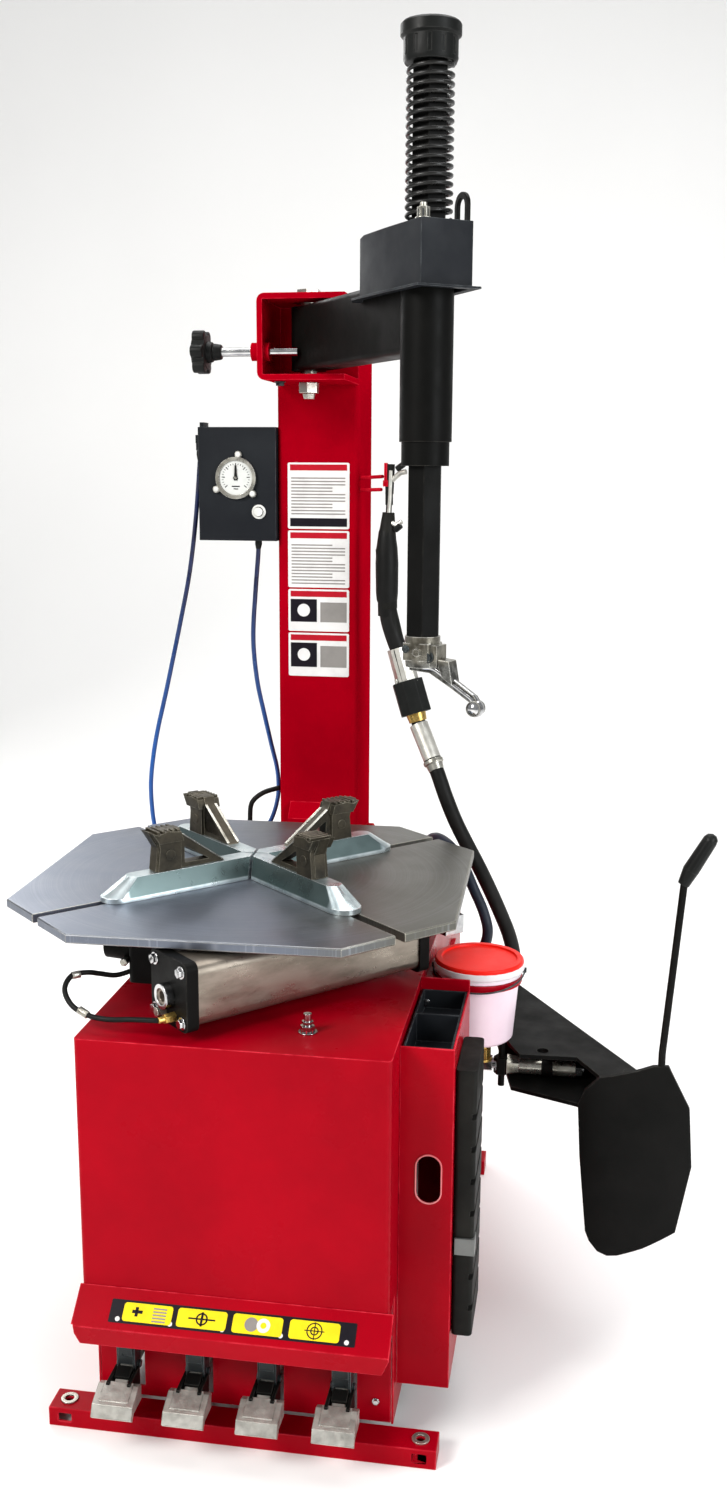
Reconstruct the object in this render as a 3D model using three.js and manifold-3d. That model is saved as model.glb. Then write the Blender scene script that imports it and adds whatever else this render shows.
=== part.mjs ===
// Swing-arm tire changer. Millimetres, +Z up.
// Every part is drawn in the cabinet frame: the origin is on the floor under the turntable
// axis, +X to the right of the front panel, +Y to the back. The finished group is then shifted
// so that the origin is under the middle of the whole machine.
import * as THREE from 'three';
import { mergeVertices } from 'three/addons/utils/BufferGeometryUtils.js';
import Module from 'manifold-3d';

const wasm = await Module();
wasm.setup();

// ---- driving dimensions -------------------------------------------------------------------
const GAP = 0.4;
const SHIFT = [-170, -64.5, 0];

const CAB = { left: -151, right: 262, front: -370, back: 545, bottom: 30, top: 574, wall: 3 };
const HOOD_Z = 222;
const PLATE_Y = -320;

const TABLE = { apothem: 315, halfSide: 181, top: 696, thick: 13, slot: 16, turn: 0.02 };
const JAW = { radius: 146, slideTop: 728, height: 60 };
const CYL = { offset: 208, z: 634, radius: 43, rear: -262, front: 130 };

const COLUMN = { left: -51, right: 89, front: 395, back: 535, top: 1548, wall: 6 };
const HEAD = { front: 255, bottom: 1426, top: 1557, wall: 9 };
const PIVOT = [19, 322];
const ARM = { length: 413, angle: -0.976, bottom: 1443, top: 1541, halfWidth: 28, wall: 5 };
const SCREW = { y: 275, z: 1470, tip: 11 };
const SHAFT = { flats: 44, bottom: 1062, top: 1832 };
const SLEEVE = { radius: 36, bottom: 1294, collar: 1326, top: 1541 };
const SPRING = { bottom: 1608, top: 1803, coil: 29.5, wire: 5.6, turns: 17 };
const COVER = { bottom: 1521, top: 1606 };

const BOX = { right: 333, front: -295, back: -80, bottom: 75, top: 563 };
const PEDAL_X = [-101, -4, 95, 196];
const HINGE = [300, 350];
const BEAD = { top: 448, bottom: 396, plate: 6 };
const BLADE = { x: 577, y: -124, z: 343, pin: [560, -96] };

const shaftX = PIVOT[0] + ARM.length * Math.cos(ARM.angle);
const shaftY = PIVOT[1] + ARM.length * Math.sin(ARM.angle);

// ---- materials ----------------------------------------------------------------------------
function paint(color, roughness, metalness) {
  return () => new THREE.MeshStandardMaterial({ color, roughness, metalness });
}

const redPaint = paint(0xa80a1e, 0.3, 0.1);
const darkPaint = paint(0x1b1b1c, 0.5, 0.2);
const greyPaint = paint(0x2e3134, 0.45, 0.2);
const machinedSteel = paint(0x83868a, 0.35, 0.9);
const zincSteel = paint(0xa9b8ba, 0.3, 0.9);
const castSteel = paint(0x3a372d, 0.55, 0.7);
const castAluminium = paint(0xc4c2ba, 0.45, 0.8);
const barrelAlloy = paint(0x8d867c, 0.35, 0.8);
const chrome = paint(0xd0d2d4, 0.15, 1);
const rubber = paint(0x1c1c1b, 0.85, 0);
const blackPlastic = paint(0x202021, 0.5, 0);
const whitePlastic = paint(0xf0e6e8, 0.4, 0);
const lidPlastic = paint(0xe8301f, 0.35, 0);
const dialFace = paint(0xe9e9e4, 0.35, 0);
const bluePlastic = paint(0x1f4c9a, 0.35, 0);

// ---- shape helpers ------------------------------------------------------------------------
function toSolid(geometry) {
  const shape = geometry.clone();
  shape.deleteAttribute('normal');
  shape.deleteAttribute('uv');
  const merged = mergeVertices(shape, 1e-4);
  const vertProperties = new Float32Array(merged.attributes.position.array);
  const triVerts = new Uint32Array(merged.index.array);
  return new wasm.Manifold(new wasm.Mesh({ numProp: 3, vertProperties, triVerts }));
}

function toGeometry(solid) {
  const mesh = solid.getMesh();
  const geometry = new THREE.BufferGeometry();
  geometry.setAttribute('position', new THREE.BufferAttribute(mesh.vertProperties, 3));
  geometry.setIndex(new THREE.BufferAttribute(mesh.triVerts, 1));
  return geometry;
}

function join(...solids) {
  return solids.reduce((sum, solid) => sum.add(solid));
}

function block(x0, x1, y0, y1, z0, z1) {
  const geometry = new THREE.BoxGeometry(x1 - x0, y1 - y0, z1 - z0);
  geometry.translate((x0 + x1) / 2, (y0 + y1) / 2, (z0 + z1) / 2);
  return toSolid(geometry);
}

function outline(points) {
  return new THREE.Shape(points.map(([x, y]) => new THREE.Vector2(x, y)));
}

function roundedRect(x0, x1, y0, y1, radius, steps = 5) {
  const points = [];
  const corners = [[x1 - radius, y1 - radius, 0], [x0 + radius, y1 - radius, 1],
    [x0 + radius, y0 + radius, 2], [x1 - radius, y0 + radius, 3]];
  for (const [x, y, quarter] of corners) {
    for (let i = 0; i <= steps; i += 1) {
      const angle = (quarter + i / steps) * Math.PI / 2;
      points.push([x + radius * Math.cos(angle), y + radius * Math.sin(angle)]);
    }
  }
  return outline(points);
}

function plateZ(shape, z0, z1) {
  const geometry = new THREE.ExtrudeGeometry(shape, { depth: z1 - z0, bevelEnabled: false });
  geometry.translate(0, 0, z0);
  return toSolid(geometry);
}

// A plate whose outline is given in X and Z and whose thickness runs from y0 to y1.
function plateY(shape, y0, y1) {
  const geometry = new THREE.ExtrudeGeometry(shape, { depth: y1 - y0, bevelEnabled: false });
  geometry.rotateX(Math.PI / 2);
  geometry.translate(0, y1, 0);
  return toSolid(geometry);
}

// A plate whose outline is given in Y and Z and whose thickness runs from x0 to x1.
function plateX(shape, x0, x1) {
  const geometry = new THREE.ExtrudeGeometry(shape, { depth: x1 - x0, bevelEnabled: false });
  geometry.rotateX(Math.PI / 2);
  geometry.rotateZ(Math.PI / 2);
  geometry.translate(x0, 0, 0);
  return toSolid(geometry);
}

// A solid of revolution about Z; the profile lists [radius, z] and starts and ends on the axis.
function turned(profile, x, y, sides = 24) {
  const points = profile.map(([radius, z]) => new THREE.Vector2(radius, z));
  const geometry = new THREE.LatheGeometry(points, sides);
  geometry.rotateX(Math.PI / 2);
  geometry.translate(x, y, 0);
  return toSolid(geometry);
}

// A straight bar of round section between two points.
function rod(radius, from, to, sides = 20, endRadius = radius) {
  const start = new THREE.Vector3(...from);
  const end = new THREE.Vector3(...to);
  const axis = end.clone().sub(start);
  const geometry = new THREE.CylinderGeometry(endRadius, radius, axis.length(), sides);
  const turn = new THREE.Quaternion().setFromUnitVectors(new THREE.Vector3(0, 1, 0),
    axis.clone().normalize());
  geometry.applyQuaternion(turn);
  const middle = start.add(end).multiplyScalar(0.5);
  geometry.translate(middle.x, middle.y, middle.z);
  return toSolid(geometry);
}

function cable(points, radius, steps, sides) {
  const curve = new THREE.CatmullRomCurve3(points.map((p) => new THREE.Vector3(...p)));
  const section = [];
  for (let i = 0; i < sides; i += 1) {
    const angle = i / sides * Math.PI * 2;
    section.push([radius * Math.cos(angle), radius * Math.sin(angle)]);
  }
  const settings = { steps, bevelEnabled: false, extrudePath: curve };
  return toSolid(new THREE.ExtrudeGeometry(outline(section), settings));
}

// Turns and moves a solid drawn at the origin: the turn is about Z, in radians.
function placed(solid, turn, x = 0, y = 0, z = 0) {
  const geometry = toGeometry(solid);
  geometry.rotateZ(turn);
  geometry.translate(x, y, z);
  return toSolid(geometry);
}

// ---- cabinet ------------------------------------------------------------------------------
function cabinetBody() {
  const { left, right, front, back, bottom, top, wall } = CAB;
  const shell = plateZ(roundedRect(left, right, front, back, 6), bottom, top)
    .subtract(plateZ(roundedRect(left + wall, right - wall, front + wall, back - wall, 3),
      bottom - 5, top - wall));
  const recess = block(left - 5, right + 5, front - 5, PLATE_Y - GAP, bottom - 5, HOOD_Z);
  const spindleHole = rod(66, [0, 0, top - 20], [0, 0, top + 10], 32);
  const rodHole = rod(16, [right - 20, 5, 417], [right + 10, 5, 417], 16);
  const stud = join(rod(9, [141, -296, top - 2], [141, -296, top + 5], 6),
    rod(5, [141, -296, top - 4], [141, -296, top + 11], 10));
  return shell.subtract(recess).subtract(spindleHole).subtract(rodHole).add(stud);
}

function pedalPlate() {
  const y0 = PLATE_Y;
  let plate = block(CAB.left + 3.5, CAB.right - 3.5, y0, y0 + 3, CAB.bottom + 1, HOOD_Z + 12);
  for (const x of PEDAL_X) {
    plate = plate.subtract(block(x - 16, x + 16, y0 - 5, y0 + 8, 46, 118));
  }
  return plate;
}

function frontHood() {
  const profile = outline([[CAB.front - GAP, HOOD_Z + 6], [CAB.front - GAP, HOOD_Z - 3],
    [CAB.front - 40, HOOD_Z - 32], [CAB.front - 32, HOOD_Z - 60], [CAB.front - 35, HOOD_Z - 60],
    [CAB.front - 43, HOOD_Z - 30]]);
  const visor = plateX(profile, CAB.left - 2, CAB.right + 6);
  const lowLeft = plateX(outline([[-450, 100], [-450, 193], [-300, 193], [-300, 100]]), -160, -150);
  const cheek = outline([[CAB.left - 60, HOOD_Z - 80], [CAB.left + 14, HOOD_Z - 80],
    [CAB.left - 3, HOOD_Z - 32], [CAB.left - 60, HOOD_Z - 32]]);
  const otherCheek = outline([[CAB.right + 60, HOOD_Z - 80], [CAB.right + 60, HOOD_Z - 32],
    [CAB.right + 7, HOOD_Z - 32], [CAB.right - 12, HOOD_Z - 80]]);
  return visor.subtract(lowLeft).subtract(plateY(cheek, -450, -300))
    .subtract(plateY(otherCheek, -450, -300));
}

function footBar(y0, y1) {
  const channel = block(-210, 325, y0, y1, 0, 28)
    .subtract(block(-206, 321, y0 + 4, y1 - 4, -5, 24));
  const squares = join(block(-196, -178, y0 - 5, y0 + 8, 8, 20),
    block(293, 311, y0 - 5, y0 + 8, 8, 20));
  const middle = (y0 + y1) / 2;
  const boltHoles = join(rod(6, [-187, middle, 10], [-187, middle, 40], 14),
    rod(6, [302, middle, 10], [302, middle, 40], 14));
  return channel.subtract(squares).subtract(boltHoles);
}

function sideBox() {
  const { right, front, back, bottom, top } = BOX;
  const left = CAB.right + GAP;
  const shell = block(left, right, front, back, bottom, top)
    .subtract(block(left - 5, right - 3, front + 3, back - 3, bottom - 5, top + 5));
  const handHole = plateY(roundedRect(285, 318, 346, 414, 16.4), front - 5, front + 10);
  const rearWall = block(left, right, back - 3, back, top - 5, top + 16);
  return shell.subtract(handHole).add(rearWall);
}

function toolTray() {
  const { right, front, back, top } = BOX;
  const left = CAB.right + 3.4;
  const outer = block(left, right - 3.4, front + 3.4, back - 3.4, top - 44, top - 1);
  const pockets = join(block(left + 3, right - 6.4, front + 6.4, front + 118, top - 41, top + 5),
    block(left + 3, right - 6.4, front + 122, back - 6.4, top - 28, top + 5));
  return outer.subtract(pockets);
}

function restPad() {
  const x0 = BOX.right + GAP;
  const shape = roundedRect(x0, x0 + 28, -281, -166, 6, 3);
  let pad = plateZ(shape, 147, 529);
  for (let i = 0; i < 7; i += 1) {
    pad = pad.subtract(block(x0 + 22, x0 + 40, -300, -150, 185 + i * 46, 193 + i * 46));
  }
  return pad;
}

// ---- pedals -------------------------------------------------------------------------------
function pedal(x) {
  const lever = plateX(outline([[-250, 84], [-250, 96], [-345, 96], [-380, 83], [-380, 70],
    [-347, 82]]), x - 9, x + 9);
  const riser = block(x - 9, x + 9, -346, -334, 84, 112);
  const tread = plateX(outline([[-372, 64], [-370, 85], [-381, 89], [-409, 77], [-416, 62],
    [-411, 57], [-404, 65]]), x - 28, x + 28);
  const raised = plateX(outline([[-377, 86], [-378, 91], [-404, 80], [-404, 74]]), x - 20, x + 20);
  return join(lever, riser, tread, raised);
}

// ---- turntable ----------------------------------------------------------------------------
function turntablePlate() {
  const { apothem, halfSide, top, thick, slot } = TABLE;
  const points = [];
  for (let k = 0; k < 4; k += 1) {
    const angle = k * Math.PI / 2;
    for (const side of [-halfSide, halfSide]) {
      points.push([apothem * Math.cos(angle) - side * Math.sin(angle),
        apothem * Math.sin(angle) + side * Math.cos(angle)]);
    }
  }
  const shape = outline(points);
  const settings = { depth: thick - 3, bevelSize: 1.5, bevelThickness: 1.5, bevelSegments: 1 };
  const geometry = new THREE.ExtrudeGeometry(shape, settings);
  geometry.translate(0, 0, top - thick + 1.5);
  let plate = toSolid(geometry);
  for (let k = 0; k < 4; k += 1) {
    const gap = block(62, 400, -slot / 2, slot / 2, top - 20, top + 10);
    plate = plate.subtract(placed(gap, Math.PI / 4 + k * Math.PI / 2));
  }
  return placed(plate, TABLE.turn);
}

function spindle() {
  const top = TABLE.top - TABLE.thick - GAP;
  return turned([[0, 330], [22, 330], [22, 470], [42, 472], [42, 596], [58, 600], [58, top],
    [0, top]], 0, 0, 28);
}

// The square plate that pulls all four slides when the cylinders turn it about the spindle.
function linkPlate() {
  const z = 664;
  const square = plateZ(roundedRect(-105, 105, -105, 105, 22, 4), z, z + 8);
  const bore = rod(58 + GAP, [0, 0, z - 5], [0, 0, z + 15], 32);
  return placed(square.subtract(bore), TABLE.turn);
}

// A slide: a T-shaped foot in the slot and a raised cover with a rounded outer end.
function slideShape() {
  const z = TABLE.top + GAP;
  const foot = outline([[3, 0], [27, -24], [226, -24], [240, -20], [249, -11], [252, 0],
    [249, 11], [240, 20], [226, 24], [27, 24]]);
  const base = plateZ(foot, z, z + 7);
  const top = JAW.slideTop;
  const height = top - z - 7;
  const side = outline([[0, z], [226, z], [226, z + 7], [200, top], [200, top + 1], [0, top + 1]]);
  const ridge = plateX(outline([[-24, z + 7], [24, z + 7], [13, top], [-13, top]]), 4, 226)
    .intersect(plateZ(foot, z, top + 5)).intersect(plateY(side, -30, 30));
  const shear = new THREE.Matrix4().makeShear(0, 0, 0, 0, -26 / height, 0);
  const nose = toSolid(new THREE.CylinderGeometry(13, 24, height, 20).rotateX(Math.PI / 2)
    .applyMatrix4(shear).translate(213, 0, (top + z + 7) / 2));
  const key = block(100, 220, -6.5, 6.5, TABLE.top - TABLE.thick - 3, z + 1);
  return join(base, ridge, nose, key);
}

function slide(k) {
  return placed(slideShape(), TABLE.turn + Math.PI / 4 + k * Math.PI / 2);
}

// A jaw: a cast block with a serrated outward hook on top and a sloping web towards the middle.
function jawShape() {
  const z = JAW.slideTop + GAP;
  const h = JAW.height;
  const r = JAW.radius;
  const side = outline([[r - 88, z], [r + 26, z], [r + 22, z + 34], [r + 30, z + h - 12],
    [r + 36, z + h], [r + 24, z + h - 4], [r + 10, z + h], [r - 14, z + h], [r - 18, z + h - 10]]);
  const window = outline([[r - 62, z + 7], [r - 22, z + 7], [r - 22, z + 31]]);
  const web = plateY(side, -9, 9).subtract(plateY(window, -20, 20));
  const body = outline([[r - 14, z], [r + 24, z], [r + 20, z + 34], [r + 22, z + h - 18],
    [r - 14, z + h - 18]]);
  const head = outline([[r - 16, z + h - 18], [r + 23, z + h - 18], [r + 34, z + h - 1],
    [r + 24, z + h - 5], [r + 10, z + h - 1], [r - 12, z + h - 4]]);
  return join(web, plateY(body, -14, 14), plateY(head, -19, 19));
}

function jaw(k) {
  return placed(jawShape(), TABLE.turn + Math.PI / 4 + k * Math.PI / 2);
}

function cylinderBarrel(turn) {
  const { offset, z, radius, rear, front } = CYL;
  const y = -offset;
  const tube = plateX(roundedRect(y - radius, y + radius, z - radius, z + radius, 16, 3),
    rear + 12, front - 10);
  const ends = join(
    plateX(roundedRect(y - 45, y + 45, z - 45, z + 45, 9, 2), rear, rear + 15),
    plateX(roundedRect(y - 45, y + 45, z - 45, z + 45, 9, 2), front - 15, front));
  const port = rod(13, [rear - 12, y, z - 6], [rear + 2, y, z - 6], 18);
  const bores = join(rod(7, [rear - 20, y, z - 6], [rear + 6, y, z - 6], 12),
    rod(11.4, [front - 92, y, z], [front + 10, y, z], 20));
  return placed(join(tube, ends, port).subtract(bores), TABLE.turn + Math.PI / 4 + turn);
}

function cylinderRod(turn) {
  const { offset, z, front } = CYL;
  const y = -offset;
  const bar = rod(11, [front - 50, y, z], [front + 62, y, z], 18);
  const eye = block(front + 58, front + 92, y - 15, y + 15, z - 14, z + 14)
    .subtract(rod(8, [front + 76, y, z - 30], [front + 76, y, z + 30], 16));
  return placed(join(bar, eye), TABLE.turn + Math.PI / 4 + turn);
}

// ---- column and swing arm -----------------------------------------------------------------
function column() {
  const { left, right, front, back, top, wall } = COLUMN;
  const z0 = CAB.top + GAP;
  const tube = plateZ(roundedRect(left, right, front, back, 9), z0, top)
    .subtract(plateZ(roundedRect(left + wall, right - wall, front + wall, back - wall, 3),
      z0 - 5, top - wall));
  const foot = plateZ(roundedRect(left - 60, right + 60, front - 40, CAB.back, 10, 3), z0, z0 + 12)
    .subtract(block(left + wall + 2, right - wall - 2, front + wall + 2, back - wall - 2,
      z0 - 5, z0 + 20));
  const collar = plateX(outline([[front + 3, 713], [front - 1, 713], [front - 24, 688],
    [front - 24, 680], [front + 3, 680]]), left + 20, left + 105);
  const gussets = [];
  for (const y of [front + 35, back - 35]) {
    gussets.push(plateY(outline([[right - 3, z0 + 10], [right + 52, z0 + 10], [right + 12, 652],
      [right - 3, 652]]), y - 4, y + 4));
    gussets.push(plateY(outline([[left + 3, z0 + 10], [left + 3, 652], [left - 12, 652],
      [left - 52, z0 + 10]]), y - 4, y + 4));
  }
  const hooks = join(rod(3, [right - 4, 412, 1275], [right + 46, 356, 1278], 8),
    rod(3, [right - 4, 412, 1255], [right + 44, 356, 1257], 8));
  return join(tube, foot, collar, ...gussets, hooks);
}

// The box that carries the swing arm: closed on the left and back, open to the front and right.
function columnHead() {
  const { front, bottom, top, wall } = HEAD;
  const back = COLUMN.front - GAP;
  const { left, right } = COLUMN;
  const shape = roundedRect(left, right + 40, bottom, top, 12, 4);
  const box = plateY(shape, front, back)
    .subtract(block(left + wall, right + 60, front - 5, back - wall, bottom + wall, top - wall));
  const trimmed = box.subtract(block(right, right + 60, front - 10, back + 10, bottom - 5, top + 5));
  const bore = rod(13.4, [...PIVOT, bottom - 10], [...PIVOT, top + 10], 24);
  const boss = rod(14, [left - 12, SCREW.y, SCREW.z], [left + wall + 8, SCREW.y, SCREW.z], 20);
  const screwHole = rod(7.4, [left - 30, SCREW.y, SCREW.z], [left + 30, SCREW.y, SCREW.z], 16);
  return join(trimmed, boss).subtract(bore).subtract(screwHole);
}

function pivotBolt() {
  const { bottom, top } = HEAD;
  return join(rod(13, [...PIVOT, bottom - 16], [...PIVOT, top + 8], 24),
    rod(20, [...PIVOT, top + GAP], [...PIVOT, top + 11], 6),
    rod(17, [...PIVOT, bottom - 17], [...PIVOT, bottom - GAP], 6));
}

function limitScrew() {
  return rod(7, [-123, SCREW.y, SCREW.z], [SCREW.tip, SCREW.y, SCREW.z], 12);
}

function limitKnob() {
  const { y, z } = SCREW;
  const lobes = [];
  for (let i = 0; i < 6; i += 1) {
    const angle = i / 6 * Math.PI * 2;
    const cy = y + 21 * Math.cos(angle);
    const cz = z + 21 * Math.sin(angle);
    lobes.push(rod(9, [-156, cy, cz], [-135, cy, cz], 10));
  }
  const disc = rod(24, [-156, y, z], [-135, y, z], 24);
  const neck = rod(13, [-137, y, z], [-112, y, z], 16, 11);
  const seat = rod(7 + GAP, [-124, y, z], [-90, y, z], 12);
  return join(disc, ...lobes, neck).subtract(seat);
}

// Drawn along +X from the pivot, then turned about it.
function swingArm() {
  const { length, bottom, top, halfWidth, wall } = ARM;
  const z = (bottom + top) / 2;
  const h = (top - bottom) / 2;
  const beam = plateX(roundedRect(-halfWidth, halfWidth, z - h, z + h, 8, 3), 0, length - 20);
  const hollow = block(34, length - 50, -halfWidth + wall, halfWidth - wall, bottom + wall,
    top - wall);
  const drain = rod(8, [90, 0, bottom - 5], [90, 0, bottom + 12], 12);
  const hub = rod(halfWidth, [0, 0, bottom], [0, 0, top], 28);
  const pinBore = rod(13 + GAP, [0, 0, bottom - 10], [0, 0, top + 10], 24);
  const sleeve = join(
    rod(SLEEVE.radius, [length, 0, SLEEVE.collar], [length, 0, SLEEVE.top], 32),
    rod(SLEEVE.radius - 3, [length, 0, SLEEVE.bottom], [length, 0, SLEEVE.collar], 32));
  const gusset = plateY(outline([[length - 52, bottom + 2], [length - 28, bottom + 2],
    [length - 28, 1348], [length - 36, 1354]]), -5, 5);
  const shaftBore = hexBar(length, 0, SHAFT.flats + 2 * GAP, SLEEVE.bottom - 10, top + 10);
  const whole = join(beam.subtract(hollow).subtract(drain), hub, sleeve, gusset)
    .subtract(pinBore).subtract(shaftBore);
  return placed(whole, ARM.angle, ...PIVOT);
}

function hexBar(x, y, flats, z0, z1) {
  const geometry = new THREE.CylinderGeometry(flats / Math.sqrt(3), flats / Math.sqrt(3),
    z1 - z0, 6);
  geometry.rotateX(Math.PI / 2);
  geometry.translate(x, y, (z0 + z1) / 2);
  return toSolid(geometry);
}

function hexShaft() {
  const { flats, bottom, top } = SHAFT;
  return placed(hexBar(0, 0, flats, bottom, top), ARM.angle, shaftX, shaftY);
}

function liftSpring() {
  const { bottom, top, coil, wire, turns } = SPRING;
  const z0 = bottom + wire / 2 + GAP;
  const z1 = top - wire / 2 - GAP;
  class Helix extends THREE.Curve {
    getPoint(t, target = new THREE.Vector3()) {
      const angle = t * turns * Math.PI * 2;
      return target.set(shaftX + coil * Math.cos(angle), shaftY + coil * Math.sin(angle),
        z0 + (z1 - z0) * t);
    }
  }
  const section = [];
  for (let i = 0; i < 5; i += 1) {
    const angle = (i + 0.5) / 5 * Math.PI * 2;
    section.push([wire / 2 * Math.cos(angle), wire / 2 * Math.sin(angle)]);
  }
  const settings = { steps: turns * 10, bevelEnabled: false, extrudePath: new Helix() };
  return toSolid(new THREE.ExtrudeGeometry(outline(section), settings));
}

function topCap() {
  const z = SPRING.top;
  const cup = turned([[0, z], [34, z], [36, z + 5], [36, z + 30], [40, z + 33], [40, z + 46],
    [37, z + 49], [0, z + 49]], 0, 0, 24);
  const socket = hexBar(0, 0, SHAFT.flats + 2 * GAP, z - 10, SHAFT.top + GAP);
  let cap = cup.subtract(socket);
  for (let i = 0; i < 12; i += 1) {
    const groove = block(34.5, 50, -2.5, 2.5, z + 7, z + 28);
    cap = cap.subtract(placed(groove, i / 12 * Math.PI * 2));
  }
  return placed(cap, ARM.angle, shaftX, shaftY);
}

// A bent-sheet cover over the clamp, drawn with the shaft at the origin and the arm along -X.
function lockCover() {
  const { bottom, top } = COVER;
  const half = [[54, 38], [-40, 42], [-126, 42], [-146, 32], [-153, 12]];
  const ring = (grow) => {
    const side = half.map(([x, y]) => [x + Math.sign(x) * grow, y + grow]);
    return outline([...side, ...side.map(([x, y]) => [x, -y]).reverse()]);
  };
  const shell = join(plateZ(ring(0), bottom, top), plateZ(ring(9), bottom, bottom + 3))
    .subtract(plateZ(ring(-3), bottom - 5, top - 3));
  const shaftHole = rod(29, [0, 0, top - 20], [0, 0, top + 10], 24);
  const slope = plateY(outline([[-180, top + 5], [-180, top - 26], [-146, top - 9],
    [-96, top + 5]]), -80, 80);
  const web = plateY(outline([[-180, top - 29], [-146, top - 12], [-94, top - 0.5], [-90, top - 3],
    [-146, top - 18], [-180, top - 36]]), -39.5, 39.5).intersect(plateZ(ring(-2), bottom, top));
  const beamGap = block(-200, -60, -ARM.halfWidth - GAP, ARM.halfWidth + GAP, bottom - 5,
    ARM.top + GAP);
  const stud = rod(8, [38, -27, top - 2], [38, -27, top + 12], 6);
  const cover = shell.subtract(shaftHole).subtract(slope).add(web).subtract(beamGap).add(stud);
  return placed(cover, ARM.angle, shaftX, shaftY);
}

// The flat loop that works the clamp: it pivots on the cover's right side.
function lockHandle() {
  const { top } = COVER;
  const loop = plateY(roundedRect(-8, 28, top - 34, top + 43, 17.8, 6), 42 + GAP, 48)
    .subtract(plateY(roundedRect(0, 20, top - 8, top + 35, 9.8, 6), 30, 60));
  return placed(loop, ARM.angle, shaftX, shaftY);
}

// The mount head, drawn with the shaft at the origin and its finger along +X.
function mountHead() {
  const z = SHAFT.bottom;
  const collar = join(rod(25, [0, 0, z - 24], [0, 0, z - GAP], 28),
    plateZ(roundedRect(-21, 21, -24, 24, 6, 3), z - 34, z - 10));
  const knuckle = join(rod(24, [0, 0, z - 44], [0, 0, z - 24], 20, 25),
    block(6, 30, -15, 15, z - 42, z - 12));
  const finger = plateY(outline([[-16, z - 40], [24, z - 38], [52, z - 60], [84, z - 80],
    [92, z - 92], [88, z - 104], [78, z - 105], [76, z - 97], [79, z - 90], [48, z - 71],
    [14, z - 52], [-18, z - 50]]), -6, 6);
  const wedge = plateY(outline([[28, z - 32], [46, z - 34], [52, z - 64], [38, z - 56]]), -12, 12);
  const roller = rod(11, [84, -9, z - 97], [84, 9, z - 97], 18);
  const bolts = join(rod(6, [4, -28, z - 22], [4, 28, z - 22], 6));
  return placed(join(collar, knuckle, finger, wedge, roller, bolts), -0.35, shaftX, shaftY);
}

// ---- gauge box ----------------------------------------------------------------------------
const GAUGE = { left: -186, right: -51.4, front: 385, back: 475, bottom: 1169, top: 1358 };
const DIAL = { x: -120, z: 1274 };
const BUTTON = { x: -81, z: 1218 };

function gaugeBox() {
  const { left, right, front, back, bottom, top } = GAUGE;
  const shell = block(left, right, front, back, bottom, top)
    .subtract(block(left + 2.5, right - 2.5, front + 2.5, back + 5, bottom - 5, top - 2.5));
  const lug = block(left, left + 8, front + 12, front + 40, top - 1, top + 8);
  const dialHole = rod(31, [DIAL.x, front - 5, DIAL.z], [DIAL.x, front + 10, DIAL.z], 28);
  const buttonHole = rod(8, [BUTTON.x, front - 5, BUTTON.z],
    [BUTTON.x, front + 10, BUTTON.z], 16);
  const gland = block(right - 44, right - 2, front + 1, front + 30, bottom, bottom + 5);
  const elbow = join(block(left - 18, left + 1, 433, 447, 1332, 1346),
    rod(7, [left - 12, 440, 1338], [left - 12, 440, 1320], 10));
  return join(shell, lug, gland, elbow).subtract(dialHole).subtract(buttonHole);
}

function gaugeDial() {
  const { x, z } = DIAL;
  const y = GAUGE.front;
  const body = rod(30.5, [x, y + 30, z], [x, y - 4, z], 28);
  const flange = rod(35, [x, y - GAP, z], [x, y - 6, z], 28);
  const well = rod(29, [x, y - 10, z], [x, y - 3, z], 28);
  const pin = rod(2, [x, y - 1, z], [x, y - 5, z], 8);
  const tabs = [];
  for (const angle of [1.45, 3.65, 5.55]) {
    const c = Math.cos(angle);
    const s = Math.sin(angle);
    tabs.push(rod(6, [x + 39 * c, y - GAP, z + 39 * s], [x + 39 * c, y - 5, z + 39 * s], 10));
  }
  return join(body, flange, ...tabs).subtract(well).add(pin);
}

function gaugeNeedle() {
  const { x, z } = DIAL;
  const y = GAUGE.front;
  const bar = plateY(outline([[x - 3, z - 4], [x + 3, z - 4], [x + 1.4, z + 21],
    [x - 1.4, z + 21]]), y - 5.4, y - 4);
  return bar.add(rod(4, [x, y - 4, z], [x, y - 5.4, z], 12))
    .subtract(rod(2.4, [x, y - 10, z], [x, y, z], 10));
}

function releaseButton() {
  const y = GAUGE.front;
  const { x, z } = BUTTON;
  return join(rod(7.4, [x, y - 8, z], [x, y + 22, z], 16),
    rod(10, [x, y + 4, z], [x, y + 10, z], 16));
}

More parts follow.
